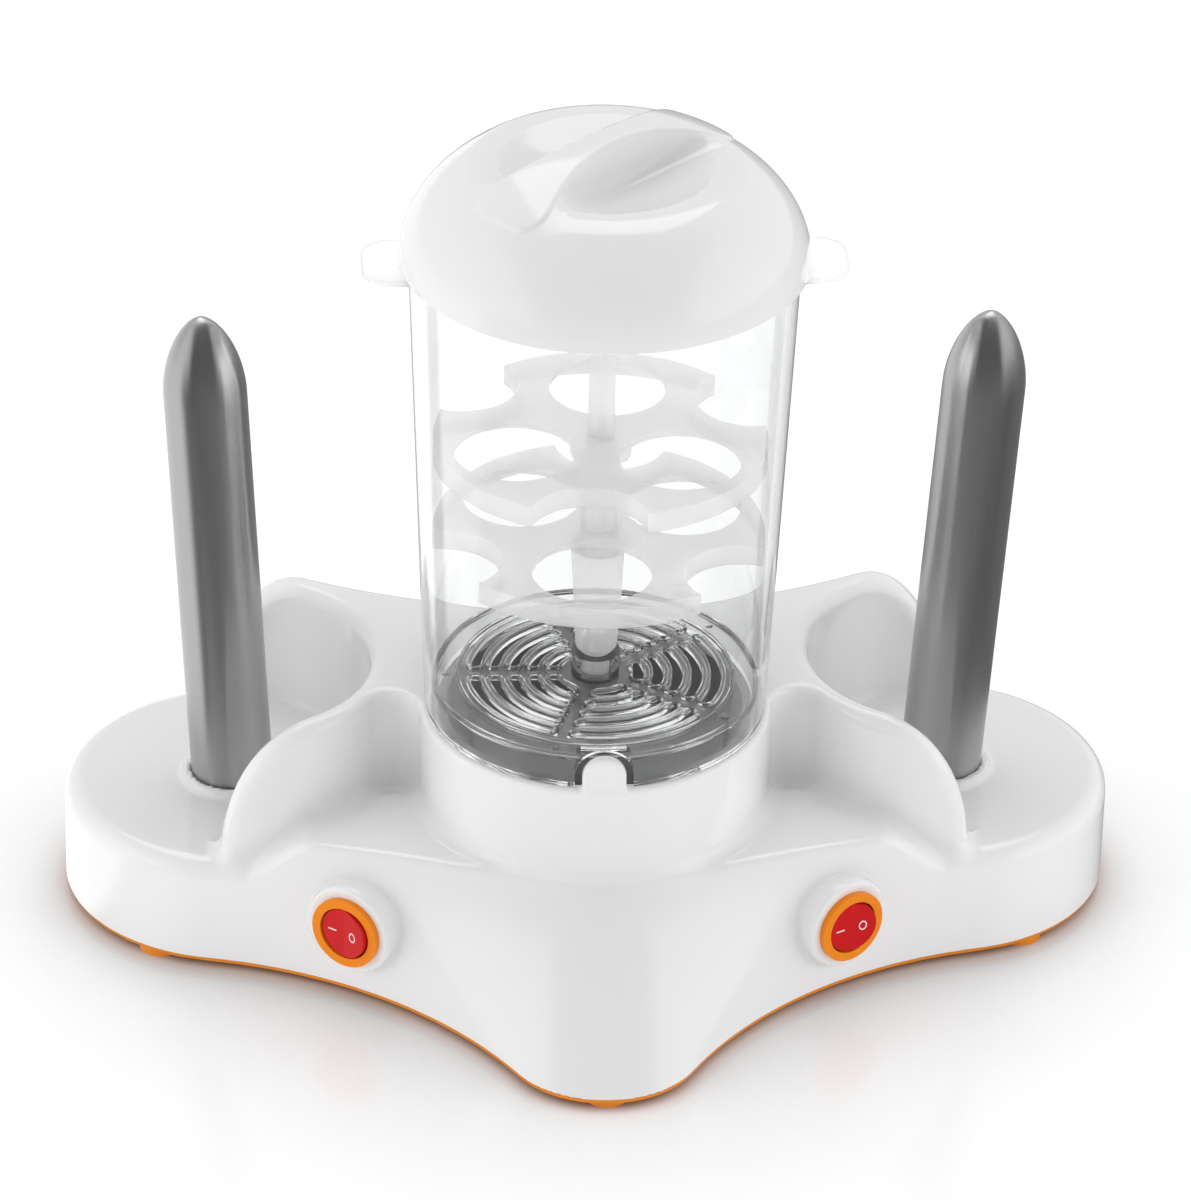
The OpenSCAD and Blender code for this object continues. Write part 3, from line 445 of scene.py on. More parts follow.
def joinRings(shape, rings, around=True, closed=True):
    # quads between neighbouring rings; around joins the last ring to the first, closed does so in each ring
    count = len(rings[0])
    for i in range(len(rings) if around else len(rings) - 1):
        a, b = rings[i], rings[(i + 1) % len(rings)]
        for j in range(count if closed else count - 1):
            k = (j + 1) % count
            shape.faces.new((a[j], b[j], b[k], a[k]))


def turnedRings(shape, profile, segments, closed=True):
    # profile points are [radius, height]
    rings = []
    for i in range(segments):
        t = 2 * math.pi * i / segments
        ring = [inFrame(r * math.cos(t), r * math.sin(t), z) for r, z in profile]
        rings.append([shape.verts.new(point) for point in ring])
    joinRings(shape, rings, closed=closed)


def block(shape, near, far):
    # a closed block between two alike outlines
    sides = [[shape.verts.new(point) for point in outline] for outline in (near, far)]
    joinRings(shape, sides, around=False)
    for side in sides:
        shape.faces.new(side)


def arcPoints(x, y, r, start, end, step):
    turns = [math.radians(t) for t in range(start, end + 1, step)]
    return [(x + r * math.cos(t), y + r * math.sin(t)) for t in turns]


def keepShape(piece):
    # bakes the modifiers into the piece's own mesh
    dg = bpy.context.evaluated_depsgraph_get()
    mesh = bpy.data.meshes.new_from_object(piece.evaluated_get(dg))
    piece.modifiers.clear()
    piece.data = mesh
    smoothShape(mesh)


def softEdges(piece, width, segments, angle):
    bevel = piece.modifiers.new("softEdges", "BEVEL")
    bevel.width = width * mm
    bevel.segments = segments
    bevel.limit_method = "ANGLE"
    bevel.angle_limit = math.radians(angle)
    bevel.harden_normals = True
    return bevel


# Clear steam cylinder, open in front over the locating tab, with two finger ears
steam = {
    "footR": 52.4, "rimR": 58.7, "wall": 2, "foot": 82.3, "top": 240.3, "lip": 1.8, "segments": 160,
    "archHalf": 8.9, "archMid": 86.3, "archDrop": 5, "archOut": 12, "archIn": 18,
    "earReach": 72.5, "earRootR": 57.4, "earW": 27, "earT": 2.4, "earZ": 233.6, "earCorner": 9,
    "earSoft": 0.9, "rootSteps": 8,
}


def addSteamCylinder():
    s = steam
    w, lip, half = s["wall"], s["lip"], s["wall"] / 2
    under = s["rimR"] - (s["rimR"] - s["footR"]) * lip / (s["top"] - s["foot"])
    profile = [(s["footR"] - w, s["foot"]), (s["footR"], s["foot"]), (under, s["top"] - lip)]
    profile += arcPoints(s["rimR"] - half, s["top"] - half, half, 0, 180, 18)
    profile += [(under - w, s["top"] - lip)]
    wall = newPiece("steamCylinder", lambda shape: turnedRings(shape, profile, s["segments"]))
    outline = [(-s["archHalf"], s["foot"] - s["archDrop"]), (s["archHalf"], s["foot"] - s["archDrop"])]
    outline += arcPoints(0, s["archMid"], s["archHalf"], 0, 180, 9)
    ends = [
        [inFrame(x, depth - s["footR"], z) for x, z in outline] for depth in (-s["archOut"], s["archIn"])]
    cutter = newPiece("archCut", lambda shape: block(shape, *ends))
    cut = wall.modifiers.new("arch", "BOOLEAN")
    cut.object = cutter
    cut.solver = "EXACT"
    keepShape(wall)
    bpy.data.objects.remove(cutter)
    return wall


def addEar(side):
    # a flat tab with round corners, rooted in the wall just under the lid
    s = steam
    half, corner, root = s["earW"] / 2, s["earCorner"], s["earRootR"]
    spread = math.asin(half / root)
    outline = arcPoints(s["earReach"] - corner, corner - half, corner, -90, -9, 9)
    outline += arcPoints(s["earReach"] - corner, half - corner, corner, 0, 90, 9)
    for i in range(s["rootSteps"] + 1):
        t = spread * (1 - 2 * i / s["rootSteps"])
        outline.append((root * math.cos(t), root * math.sin(t)))
    levels = [s["earZ"] - s["earT"] / 2, s["earZ"] + s["earT"] / 2]
    ends = [[inFrame(side * x, y, z) for x, y in outline] for z in levels]
    ear = newPiece("earLeft" if side < 0 else "earRight", lambda shape: block(shape, *ends))
    soft = softEdges(ear, s["earSoft"], 4, 50)
    soft.harden_normals = False
    keepShape(ear)
    return ear


cylinderPiece = addSteamCylinder()
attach(cylinderPiece, "container")
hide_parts("steam_cylinder")
earPieces = [addEar(side) for side in (-1, 1)]
for ear in earPieces:
    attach(ear, "container")
print("steam cylinder done")


# Drip grid: a clear tray with raised lips round its ring slots
grid = {
    "top": 92, "r": 50.2, "slotR": 13.5, "pitch": 5.9, "slotW": 3, "rings": 5,
    "spokes": 5, "spokeTurn": 36, "spokeW": 3,
    "lip": 1.0, "lipW": 0.8, "lipSteps": 16, "bendSteps": 8, "lipSides": 8,
    "rimInset": 0.9, "innerInset": 0.8, "beadW": 0.7, "beadH": 0.72, "beadSegments": 128,
    "padR": 1.3, "padTopR": 0.975, "padReach": 46, "padH": 0.5,
}


def slotLip(shape, r, half, start, end):
    # a bead swept round the slot's outline: out along its outer edge and back along the inner one
    g = grid
    steps, sides = g["lipSteps"], g["lipSides"]
    turnIn = math.degrees(half / r)
    sweep = end - start - 2 * turnIn
    bends = [math.pi * i / g["bendSteps"] for i in range(1, g["bendSteps"])]
    path = [(r + half, start + turnIn + sweep * i / steps) for i in range(steps + 1)]
    path += [(r + half * math.cos(u), end - turnIn + turnIn * math.sin(u)) for u in bends]
    path += [(r - half, end - turnIn - sweep * i / steps) for i in range(steps + 1)]
    path += [(r - half * math.cos(u), start + turnIn - turnIn * math.sin(u)) for u in bends]
    centres = [
        Vector((q * math.cos(math.radians(t)), q * math.sin(math.radians(t)), g["top"])) for q, t in path]
    rings = []
    for i, centre in enumerate(centres):
        ahead = (centres[(i + 1) % len(centres)] - centres[i - 1]).normalized()
        sideways = ahead.cross(Vector((0, 0, 1)))
        ring = []
        for j in range(sides):
            u = 2 * math.pi * j / sides
            p = centre + sideways * g["lipW"] * math.cos(u) + Vector((0, 0, g["lip"] * math.sin(u)))
            ring.append(shape.verts.new(inFrame(*p)))
        rings.append(ring)
    joinRings(shape, rings)


def addGridLips():
    # rounded lips along the inner and outer edge of every slot, closed at both ends
    g = grid

    def build(shape):
        for i in range(g["rings"]):
            r = g["slotR"] + g["pitch"] * i
            half = g["slotW"] / 2 + g["lipW"]
            gap = math.degrees((g["spokeW"] / 2 + g["lipW"]) / r)
            for k in range(g["spokes"]):
                start = g["spokeTurn"] + 360 * k / g["spokes"] + gap
                end = g["spokeTurn"] + 360 * (k + 1) / g["spokes"] - gap
                slotLip(shape, r, half, start, end)

    return newPiece("gridLips", build)


def addGridTrim():
    # a raised bead on both sides of the grid's flat border, and a round pad at the end of every spoke
    g = grid

    def build(shape):
        for r in (g["r"] - g["rimInset"], g["slotR"] + g["pitch"] * g["rings"] - g["innerInset"]):
            turns = [math.radians(t) for t in range(0, 360, 45)]
            bead = [(r + g["beadW"] * math.cos(t), g["top"] + g["beadH"] * math.sin(t)) for t in turns]
            turnedRings(shape, bead, g["beadSegments"])
        for k in range(g["spokes"]):
            t = math.radians(g["spokeTurn"] + 360 * k / g["spokes"])
            pad = bmesh.ops.create_cone(
                shape, cap_ends=True, segments=24, radius1=g["padR"] * mm, radius2=g["padTopR"] * mm,
                depth=2 * g["padH"] * mm)
            place = inFrame(g["padReach"] * math.cos(t), g["padReach"] * math.sin(t), g["top"])
            bmesh.ops.translate(shape, verts=pad["verts"], vec=place)

    return newPiece("gridTrim", build)


lipPiece = addGridLips()
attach(lipPiece, "container")
trimPiece = addGridTrim()
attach(trimPiece, "container")
print("drip grid done")


# Bun rods: bullet-shaped tubes that lean outwards
rod = {
    "r": 12.75, "len": 162, "foot": 14, "tip": 26, "shoulder": 2, "fullness": 1.9, "round": 0.62,
    "steps": 36, "segments": 96,
}


def addRod(side):
    r = rod
    profile = [(0, -r["foot"]), (r["r"], -r["foot"]), (r["r"], r["len"] - r["tip"] - r["shoulder"])]
    for i in range(r["steps"] + 1):
        t = math.sin(math.pi / 2 * i / r["steps"])
        profile.append((r["r"] * (1 - t ** r["fullness"]) ** r["round"], r["len"] - r["tip"] * (1 - t)))

    def build(shape):
        turnedRings(shape, profile, r["segments"], closed=False)
        lean = Matrix.Rotation(math.radians(side * shell["rodLean"]), 4, "Y")
        place = Matrix.Translation(inFrame(side * shell["rodX"], shell["rodY"], shell["lobeTop"]))
        home = Matrix.Translation((0, -axisY * mm, 0))
        bmesh.ops.transform(shape, matrix=place @ lean @ home, verts=shape.verts)

    name = "left" if side < 0 else "right"
    piece = newPiece("bunRod_" + name, build)
    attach(piece, "base")
    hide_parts("bun_rod_" + name)
    return piece


rodPieces = [addRod(side) for side in (-1, 1)]
print("rods done")


# Shared surface effects
def groupWith(name, inputs, outputs):
    group = bpy.data.node_groups.new(name, "ShaderNodeTree")
    for label, kind, value in inputs:
        socket = group.interface.new_socket(label, in_out="INPUT", socket_type=kind)
        if value is not None:
            socket.default_value = value
    for label, kind in outputs:
        group.interface.new_socket(label, in_out="OUTPUT", socket_type=kind)
    return group, group.nodes.new("NodeGroupInput"), group.nodes.new("NodeGroupOutput")


def linked(tree, kind, links=None, **values):
    node = tree.nodes.new(kind)
    for key, value in values.items():
        setattr(node, key, value)
    for label, source in (links or {}).items():
        if isinstance(source, bpy.types.NodeSocket):
            tree.links.new(source, node.inputs[label])
        else:
            node.inputs[label].default_value = source
    return node


def reckon(tree, operation, *values):
    node = linked(tree, "ShaderNodeMath", dict(enumerate(values)), operation=operation)
    return node.outputs[0]


def buildMouldedSkin():
    # faint flow marks in the colour, an uneven polish and the fine skin of moulded plastic
    group, start, end = groupWith(
        "mouldedSkin",
        [("Color", "NodeSocketColor", (0.8, 0.8, 0.8, 1)), ("Roughness", "NodeSocketFloat", 0.2),
         ("Flow", "NodeSocketFloat", 0.03), ("Grain", "NodeSocketFloat", 900.0)],
        [("Color", "NodeSocketColor"), ("Roughness", "NodeSocketFloat"), ("Height", "NodeSocketFloat")])
    place = linked(group, "ShaderNodeTexCoord").outputs["Object"]
    flow = linked(group, "ShaderNodeTexNoise", {"Vector": place, "Scale": 14.0, "Detail": 2.0})
    depth = reckon(group, "MULTIPLY", flow.outputs["Fac"], start.outputs["Flow"])
    shade = reckon(group, "SUBTRACT", 1.0, depth)
    tint = linked(group, "ShaderNodeVectorMath", {
        0: start.outputs["Color"], "Scale": shade}, operation="SCALE")
    polish = linked(group, "ShaderNodeTexNoise", {"Vector": place, "Scale": 60.0, "Detail": 3.0})
    spread = linked(group, "ShaderNodeMapRange", {
        "Value": polish.outputs["Fac"], "To Min": 0.85, "To Max": 1.15})
    rough = reckon(group, "MULTIPLY", spread.outputs[0], start.outputs["Roughness"])
    grain = linked(group, "ShaderNodeTexNoise", {
        "Vector": place, "Scale": start.outputs["Grain"], "Detail": 2.0})
    group.links.new(tint.outputs["Vector"], end.inputs["Color"])
    group.links.new(rough, end.inputs["Roughness"])
    group.links.new(grain.outputs["Fac"], end.inputs["Height"])
    return group


def buildBrushedLines():
    # fine lines of brushed metal along the given coordinates
    group, start, end = groupWith(
        "brushedLines",
        [("Vector", "NodeSocketVector", None), ("Color", "NodeSocketColor", (0.5, 0.5, 0.5, 1)),
         ("Roughness", "NodeSocketFloat", 0.3), ("Contrast", "NodeSocketFloat", 0.2)],
        [("Color", "NodeSocketColor"), ("Roughness", "NodeSocketFloat"), ("Height", "NodeSocketFloat")])
    place = start.outputs["Vector"]
    lines = linked(group, "ShaderNodeTexNoise", {"Vector": place, "Scale": 1.0, "Detail": 4.0})
    broad = linked(group, "ShaderNodeVectorMath", {0: place, "Scale": 0.12}, operation="SCALE")
    bands = linked(group, "ShaderNodeTexNoise", {
        "Vector": broad.outputs["Vector"], "Scale": 1.0, "Detail": 1.0})
    both = reckon(group, "ADD", lines.outputs["Fac"], bands.outputs["Fac"])
    centred = reckon(group, "SUBTRACT", both, 1.0)
    level = reckon(group, "MULTIPLY_ADD", centred, start.outputs["Contrast"], 1.0)
    tint = linked(group, "ShaderNodeVectorMath", {
        0: start.outputs["Color"], "Scale": level}, operation="SCALE")
    rough = reckon(group, "MULTIPLY", level, start.outputs["Roughness"])
    group.links.new(tint.outputs["Vector"], end.inputs["Color"])
    group.links.new(rough, end.inputs["Roughness"])
    group.links.new(lines.outputs["Fac"], end.inputs["Height"])
    return group


mouldedSkin = buildMouldedSkin()
brushedLines = buildBrushedLines()


def newMaterial(name):
    material = bpy.data.materials.new(name)
    material.use_nodes = True
    return material, material.node_tree, material.node_tree.nodes["Principled BSDF"]


def setSockets(shader, values):
    for label, value in values.items():
        shader.inputs[label].default_value = value


def dress(tree, shader, effect, bump, depth, sockets):
    # colour, polish and relief from the effect, and the rest on the shader's own sockets
    relief = linked(tree, "ShaderNodeBump", {
        "Height": effect.outputs["Height"], "Strength": bump, "Distance": depth})
    tree.links.new(effect.outputs["Color"], shader.inputs["Base Color"])
    tree.links.new(effect.outputs["Roughness"], shader.inputs["Roughness"])
    tree.links.new(relief.outputs["Normal"], shader.inputs["Normal"])
    setSockets(shader, {label.replace("_", " "): value for label, value in sockets.items()})


def plastic(name, color, roughness, flow=0.03, grain=900.0, bump=0.02, **sockets):
    material, tree, shader = newMaterial(name)
    skin = linked(tree, "ShaderNodeGroup", node_tree=mouldedSkin)
    setSockets(skin, {"Color": color + (1,), "Roughness": roughness, "Flow": flow, "Grain": grain})
    dress(tree, shader, skin, bump, depth=0.0002, sockets=sockets)
    return material


def metal(name, color, roughness, contrast, stretch, turned=False, drawn=False):
    # stretch is the fineness of the lines along each axis; turned draws them about the container's axis,
    # and drawn blurs what the metal shows along its length
    material, tree, shader = newMaterial(name)
    place = linked(tree, "ShaderNodeTexCoord").outputs["Object"]
    if turned:
        moved = linked(tree, "ShaderNodeVectorMath", {0: place, 1: (0, -axisY * mm, 0)}, operation="ADD")
        flat = linked(tree, "ShaderNodeVectorMath", {0: moved.outputs[0], 1: (1, 1, 0)}, operation="MULTIPLY")
        reach = linked(tree, "ShaderNodeVectorMath", {0: flat.outputs[0]}, operation="LENGTH")
        place = linked(tree, "ShaderNodeCombineXYZ", {"X": reach.outputs["Value"]}).outputs[0]
    spread = linked(tree, "ShaderNodeVectorMath", {0: place, 1: stretch}, operation="MULTIPLY")
    lines = linked(tree, "ShaderNodeGroup", {"Vector": spread.outputs[0]}, node_tree=brushedLines)
    setSockets(lines, {"Color": color + (1,), "Roughness": roughness, "Contrast": contrast})
    dress(tree, shader, lines, bump=0.06, depth=0.0001, sockets={"Metallic": 1.0})
    if drawn:
        around = linked(tree, "ShaderNodeTangent", direction_type="RADIAL", axis="Z")
        tree.links.new(around.outputs[0], shader.inputs["Tangent"])
        setSockets(shader, {"Anisotropic": 0.85, "Anisotropic Rotation": 0.25})
    return material


def clearPlastic(name, color, roughness, ior):
    # clear, and open to light on its way to the pieces behind it
    material, tree, shader = newMaterial(name)
    setSockets(shader, {
        "Base Color": color + (1,), "Roughness": roughness, "IOR": ior, "Transmission Weight": 1.0})
    path = linked(tree, "ShaderNodeLightPath")
    soft = reckon(tree, "MAXIMUM", path.outputs["Is Shadow Ray"], path.outputs["Is Diffuse Ray"])
    passing = linked(tree, "ShaderNodeBsdfTransparent", {"Color": (0.95, 0.95, 0.95, 1)})
    mix = linked(tree, "ShaderNodeMixShader", {0: soft, 1: shader.outputs[0], 2: passing.outputs[0]})
    tree.links.new(mix.outputs[0], tree.nodes["Material Output"].inputs["Surface"])
    return material


finish = {
    "body": plastic(
        "glossWhite", (0.84, 0.84, 0.84), 0.16, flow=0.012, bump=0.01, Coat_Weight=0.35, Coat_Roughness=0.05),
    "lid": plastic(
        "lidWhite", (0.79, 0.79, 0.79), 0.14, flow=0.01, bump=0.01, Coat_Weight=0.3, Coat_Roughness=0.05),
    "orange": plastic("orangeTrim", (0.80, 0.245, 0.006), 0.3, flow=0.06, bump=0.05),
    "bezel": plastic("orangeBezel", (0.86, 0.24, 0.003), 0.34, flow=0.05, bump=0.08, Specular_IOR_Level=0.25),
    "red": plastic(
        "redRocker", (0.62, 0.005, 0.008), 0.16, flow=0.12, bump=0.03, Coat_Weight=0.15,
        Specular_IOR_Level=0.35),
    "mark": plastic("switchMark", (0.9, 0.82, 0.8), 0.4, bump=0.02),
    "rod": metal("rodSteel", (0.45, 0.45, 0.455), 0.3, 0.08, (900, 900, 6), drawn=True),
    "bowl": metal("bowlSteel", (0.12, 0.12, 0.125), 0.36, 0.5, (1500, 0, 0), turned=True),
    "screw": metal("screwSteel", (0.55, 0.55, 0.56), 0.35, 0.2, (400, 400, 400)),
    "heater": metal("heaterSteel", (0.2, 0.18, 0.16), 0.5, 0.4, (300, 300, 300)),
    "brass": metal("brassFitting", (0.68, 0.47, 0.17), 0.35, 0.2, (500, 500, 500)),
    "rack": plastic(
        "rackWhite", (0.96, 0.965, 0.965), 0.38, flow=0.01, bump=0.02, Alpha=0.5, Subsurface_Weight=1.0,
        Subsurface_Scale=0.012, Subsurface_Radius=(1, 1, 1)),
    "inner": plastic("innerWhite", (0.8, 0.8, 0.78), 0.5, bump=0.06),
    "ceramic": plastic("ceramicCore", (0.74, 0.66, 0.52), 0.7, flow=0.1, bump=0.2),
    "black": plastic("blackPlastic", (0.02, 0.02, 0.02), 0.45, bump=0.1),
    "rubber": plastic("blackRubber", (0.025, 0.025, 0.025), 0.7, bump=0.15),
    "clear": clearPlastic("clearPlastic", (0.985, 0.99, 0.99), 0.0, 1.45),
    "ear": clearPlastic("frostedEar", (0.98, 0.98, 0.98), 0.5, 1.3),
}
slotFinish = {
    "body_white": "body", "lid_white": "lid", "orange_trim": "orange", "orange_bezel": "bezel",
    "red_rocker": "red", "rod_steel": "rod", "bowl_steel": "bowl", "heater_steel": "heater",
    "screw_steel": "screw", "brass_fitting": "brass", "clear_plastic": "clear", "rack_white": "rack",
    "inner_white": "inner", "ceramic": "ceramic", "black_plastic": "black", "black_rubber": "rubber",
}


def giveFinish(piece, name):
    piece.data.materials.clear()
    piece.data.materials.append(finish[name])


for part in frame["record"]["subparts"]:
    giveFinish(nodes[part["node"]], slotFinish[part["material_slot"]])
giveFinish(bodyPiece, "body")
giveFinish(lidPiece, "lid")
for piece in (cylinderPiece, lipPiece, trimPiece):
    giveFinish(piece, "clear")
for piece in earPieces:
    giveFinish(piece, "ear")
for piece in rodPieces:
    giveFinish(piece, "rod")

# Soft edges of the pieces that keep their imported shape: width in mm, steps and least angle
softened = {
    "drip_grid": (0.3, 2, 40),
    "rack_lower_tier": (0.6, 3, 40), "rack_upper_tier": (0.6, 3, 40),
    "switch_bezel_left": (0.5, 3, 40), "switch_bezel_right": (0.5, 3, 40),
    "switch_rocker_left": (0.4, 2, 30), "switch_rocker_right": (0.4, 2, 30),
}
for name, values in softened.items():
    softEdges(nodes[name], *values)
print("finishes set")


# Line and ring marks on each rocker
marks = {
    "pivotZ": 0.5, "tilt": 9, "dish": 6, "face": 1.2, "proud": 0.06, "sunk": 0.15, "lineW": 0.42,
    "dashX": -4.3, "dashL": 3.0, "ringX": 3.6, "ringR": 1.45, "ringSquash": 0.8, "ringSteps": 32,
}


def addMarks(side):
    m = marks
    half, base, top = m["lineW"] / 2, -m["sunk"], m["proud"]

    def onFace(x, y, lift):
        return Vector((x, y, m["face"] + abs(x) * math.tan(math.radians(m["dish"])) + lift))

    def build(shape):
        corners = ((-1, -1), (1, -1), (1, 1), (-1, 1))
        dash = [(m["dashX"] + a * m["dashL"] / 2, b * half) for a, b in corners]
        block(shape, *[[onFace(x, y, lift) for x, y in dash] for lift in (base, top)])
        rings = []
        for i in range(m["ringSteps"]):
            t = 2 * math.pi * i / m["ringSteps"]
            ring = []
            for edge, lift in ((-half, base), (half, base), (half, top), (-half, top)):
                reach = m["ringR"] + edge
                x = m["ringX"] + reach * math.cos(t) * m["ringSquash"]
                ring.append(shape.verts.new(onFace(x, reach * math.sin(t), lift)))
            rings.append(ring)
        joinRings(shape, rings)
        turn = Matrix.Rotation(math.radians(-m["tilt"]), 4, "Y")
        lift = Matrix.Translation((0, 0, m["pivotZ"]))
        upright = Matrix.Rotation(math.pi / 2, 4, "X")
        swing = Matrix.Rotation(math.radians(side * shell["switchTurn"]), 4, "Z")
        place = Matrix.Translation((side * shell["switchX"], axisY + shell["switchY"], shell["switchZ"]))
        whole = Matrix.Scale(mm, 4) @ place @ swing @ upright @ lift @ turn
        bmesh.ops.transform(shape, matrix=whole, verts=shape.verts)

    name = "left" if side < 0 else "right"
    piece = newPiece("rockerMarks_" + name, build)
    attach(piece, "rocker_" + name)
    giveFinish(piece, "mark")


for side in (-1, 1):
    addMarks(side)
print("switch marks done")


# Pale floor and soft studio light: bright to both sides and dark behind the camera, as the gloss shows it
studio = {
    "floorHalf": 6.0, "floorColor": 0.95, "floorGlow": 0.15, "floorLift": 0.45, "contact": 0.15,
    "contactPower": 0.7, "sky": 0.6, "background": 1.0, "aimHeight": 0.1,
    "key": {"place": (-2.0, -0.45, 0.6), "size": 2.0, "power": 18, "inGloss": False},
    "fill": {"place": (2.0, -0.4, 0.55), "size": 2.0, "power": 18, "inGloss": False},
    "front": {"place": (0.0, -2.3, 0.7), "size": 1.6, "power": 2.5, "inGloss": False},
    "top": {"place": (0.0, 0.8, 2.0), "size": 1.6, "power": 13, "inGloss": True},
    "gloss": {
        "dark": 0.15, "bright": 1.0, "back": 0.8, "gapIn": 0.6, "gapOut": 0.74,
        "frontFrom": 0.3, "frontTo": 0.0},
    # painted reflection: floor levels by turn and distance from each rod, seen only in gloss, that paint dark
    # bands on the rods
    "paintedRodBands": {
        "near": 0.08, "far": 0.32, "nearLevel": 1.3, "farLevel": 0.75,
        "turns": [(-72, 1.5), (-58, 0.18), (-50, 0.18), (-38, 0.34), (56, 0.38), (68, 0.18), (76, 0.15),
                  (92, 0.25), (160, 0.4)]},
}


def seenStraight(tree):
    # 1 for rays from the camera and for what metal and clear plastic show
    path = linked(tree, "ShaderNodeLightPath")
    first = reckon(tree, "MAXIMUM", path.outputs["Is Camera Ray"], path.outputs["Is Glossy Ray"])
    return reckon(tree, "MAXIMUM", first, path.outputs["Is Transmission Ray"])


def onlyMirrored(tree):
    # 1 for what shiny surfaces show, but not for what is seen through clear ones
    path = linked(tree, "ShaderNodeLightPath")
    through = reckon(tree, "SUBTRACT", 1.0, path.outputs["Is Transmission Ray"])
    return reckon(tree, "MULTIPLY", path.outputs["Is Glossy Ray"], through)


def buildPaintedRodReflection():
    # painted reflection: brightness of the floor as the rods show it, from the direction and distance to one
    # rod, which paints dark bands on the rods
    f = studio["paintedRodBands"]
    group, start, end = groupWith(
        "paintedRodReflection", [("Position", "NodeSocketVector", None), ("Rod", "NodeSocketVector", None)],
        [("Level", "NodeSocketFloat")])
    away = linked(group, "ShaderNodeVectorMath", {
        0: start.outputs["Position"], 1: start.outputs["Rod"]}, operation="SUBTRACT")
    axes = linked(group, "ShaderNodeSeparateXYZ", {0: away.outputs[0]})
    forward = reckon(group, "MULTIPLY", axes.outputs["Y"], -1.0)
    turn = reckon(group, "ARCTAN2", axes.outputs["X"], forward)
    share = linked(group, "ShaderNodeMapRange", {"Value": turn, "From Min": -math.pi, "From Max": math.pi})
    ramp = linked(group, "ShaderNodeValToRGB", {"Fac": share.outputs[0]})
    stops = ramp.color_ramp.elements
    while len(stops) < len(f["turns"]):
        stops.new(0.5)
    for stop, (angle, level) in zip(list(stops), f["turns"]):
        stop.position = (angle + 180) / 360
        stop.color = (level, level, level, 1)
    reach = linked(group, "ShaderNodeVectorMath", {0: away.outputs[0]}, operation="LENGTH")
    fade = linked(group, "ShaderNodeMapRange", {
        "Value": reach.outputs["Value"], "From Min": f["near"], "From Max": f["far"],
        "To Min": f["nearLevel"], "To Max": f["farLevel"]})
    level = reckon(group, "MULTIPLY", ramp.outputs["Color"], fade.outputs[0])
    group.links.new(level, end.inputs["Level"])
    return group


def floorMaterial():
    c = studio["floorColor"]
    material, tree, shader = newMaterial("paleFloor")
    setSockets(shader, {"Roughness": 0.14, "Specular IOR Level": 0.5, "Emission Color": (1, 1, 1, 1)})
    # contact shadow in the colour and in the glow that the camera sees
    around = linked(tree, "ShaderNodeAmbientOcclusion", {"Distance": studio["contact"]}, samples=8)
    openness = reckon(tree, "POWER", around.outputs["AO"], studio["contactPower"])
    shade = linked(tree, "ShaderNodeVectorMath", {0: (c, c, c), "Scale": openness}, operation="SCALE")
    tree.links.new(shade.outputs["Vector"], shader.inputs["Base Color"])
    seen = reckon(tree, "MULTIPLY", openness, studio["floorGlow"])
    glow = linked(tree, "ShaderNodeMapRange", {
        "Value": seenStraight(tree), "To Min": studio["floorLift"], "To Max": seen})
    tree.links.new(glow.outputs[0], shader.inputs["Emission Strength"])
    # painted reflection: greyer where shiny pieces show the floor, which paints dark bands into the rods'
    # gloss
    paintedRodBands = buildPaintedRodReflection()
    place = linked(tree, "ShaderNodeTexCoord").outputs["Object"]
    levels = []
    for side in (-1, 1):
        foot = inFrame(side * shell["rodX"], shell["rodY"], 0)
        spot = linked(tree, "ShaderNodeGroup", {"Position": place, "Rod": foot}, node_tree=paintedRodBands)
        levels.append(spot.outputs["Level"])
    paintedGrey = linked(tree, "ShaderNodeEmission", {"Strength": reckon(tree, "MINIMUM", *levels)})
    mirrored = linked(tree, "ShaderNodeMixShader", {
        0: onlyMirrored(tree), 1: shader.outputs[0], 2: paintedGrey.outputs[0]})
    tree.links.new(mirrored.outputs[0], tree.nodes["Material Output"].inputs["Surface"])
    return material


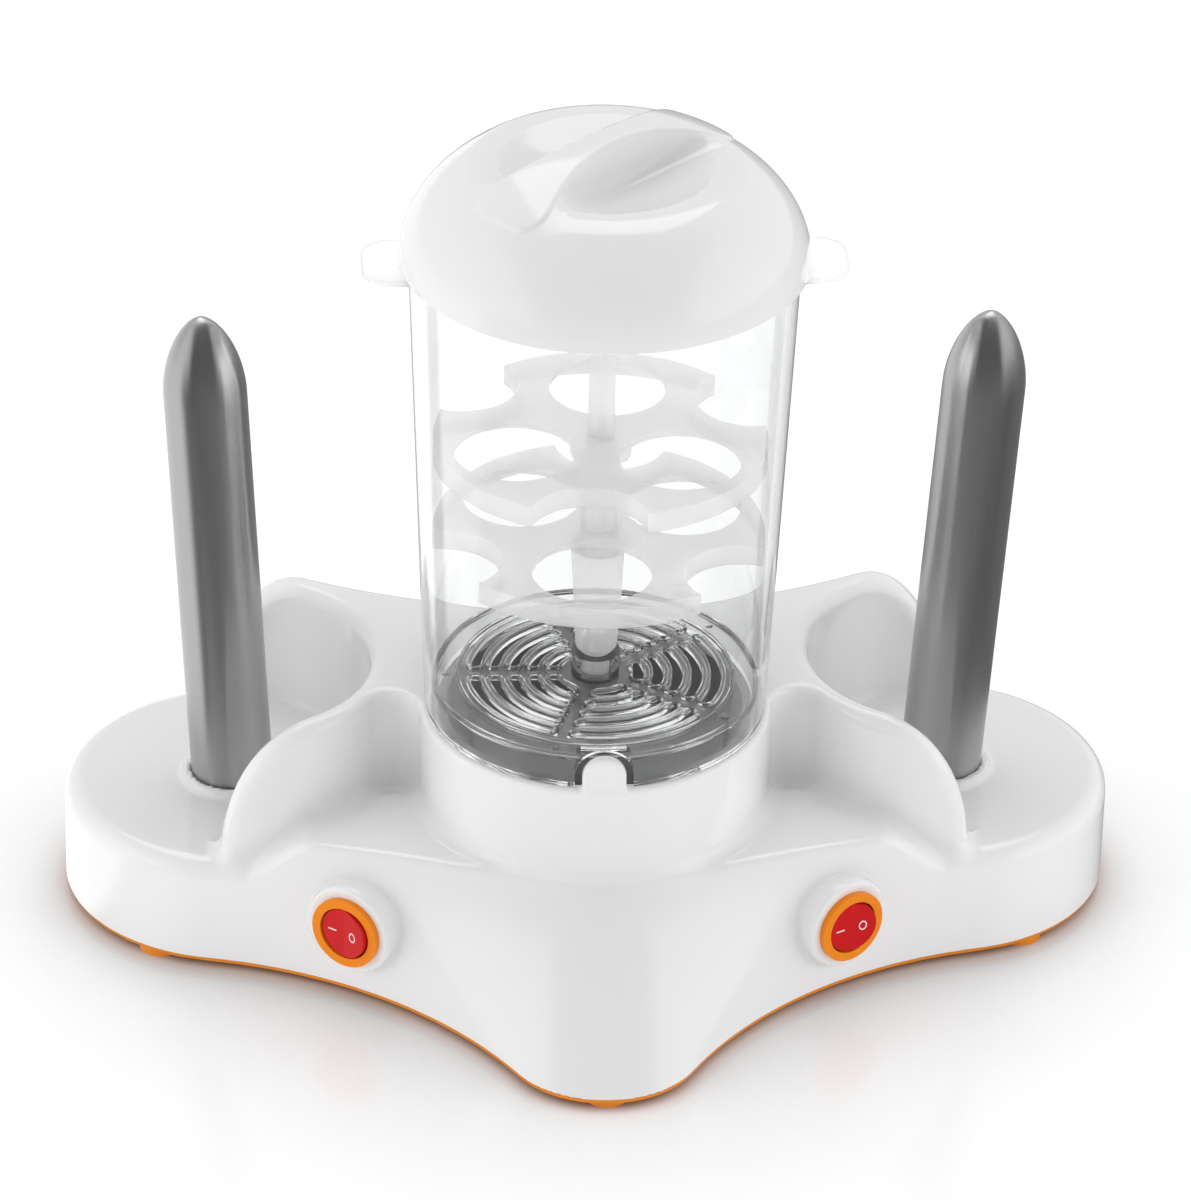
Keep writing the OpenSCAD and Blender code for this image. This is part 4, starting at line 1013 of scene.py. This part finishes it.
def addFloor():
    half = studio["floorHalf"]
    mesh = bpy.data.meshes.new("floor")
    corners = [(-half, -half, 0), (half, -half, 0), (half, half, 0), (-half, half, 0)]
    mesh.from_pydata(corners, [], [(0, 1, 2, 3)])
    mesh.materials.append(floorMaterial())
    floor = bpy.data.objects.new("floor", mesh)
    bpy.context.scene.collection.objects.link(floor)


def addWorld():
    world = bpy.data.worlds.new("studio")
    bpy.context.scene.world = world
    world.use_nodes = True
    tree = world.node_tree
    g = studio["gloss"]
    plain = linked(tree, "ShaderNodeMapRange", {
        "Value": seenStraight(tree), "To Min": studio["sky"], "To Max": studio["background"]})
    axes = linked(tree, "ShaderNodeSeparateXYZ", {0: linked(tree, "ShaderNodeTexCoord").outputs["Generated"]})
    sideways = reckon(tree, "ABSOLUTE", axes.outputs["X"])
    boxes = linked(tree, "ShaderNodeMapRange", {
        "Value": sideways, "From Min": g["gapIn"], "From Max": g["gapOut"],
        "To Min": g["dark"], "To Max": g["bright"]})
    front = linked(tree, "ShaderNodeMapRange", {
        "Value": axes.outputs["Y"], "From Min": g["frontFrom"], "From Max": g["frontTo"]})
    shown = linked(tree, "ShaderNodeMix", {"Factor": front.outputs[0], "A": g["back"], "B": boxes.outputs[0]})
    level = linked(tree, "ShaderNodeMix", {
        "Factor": onlyMirrored(tree), "A": plain.outputs[0], "B": shown.outputs[0]})
    sky = tree.nodes["Background"]
    sky.inputs["Color"].default_value = (1, 1, 1, 1)
    tree.links.new(level.outputs[0], sky.inputs["Strength"])


def addLight(name):
    values = studio[name]
    data = bpy.data.lights.new(name, "AREA")
    data.energy = values["power"]
    data.size = values["size"]
    light = bpy.data.objects.new(name, data)
    bpy.context.scene.collection.objects.link(light)
    light.location = values["place"]
    aim = Vector((0, 0, studio["aimHeight"])) - light.location
    light.rotation_euler = aim.to_track_quat("-Z", "Y").to_euler()
    light.visible_glossy = values["inGloss"]


addFloor()
addWorld()
for name in ("key", "fill", "front", "top"):
    addLight(name)
bpy.context.scene.view_settings.view_transform = "Standard"
print("floor and lights set")
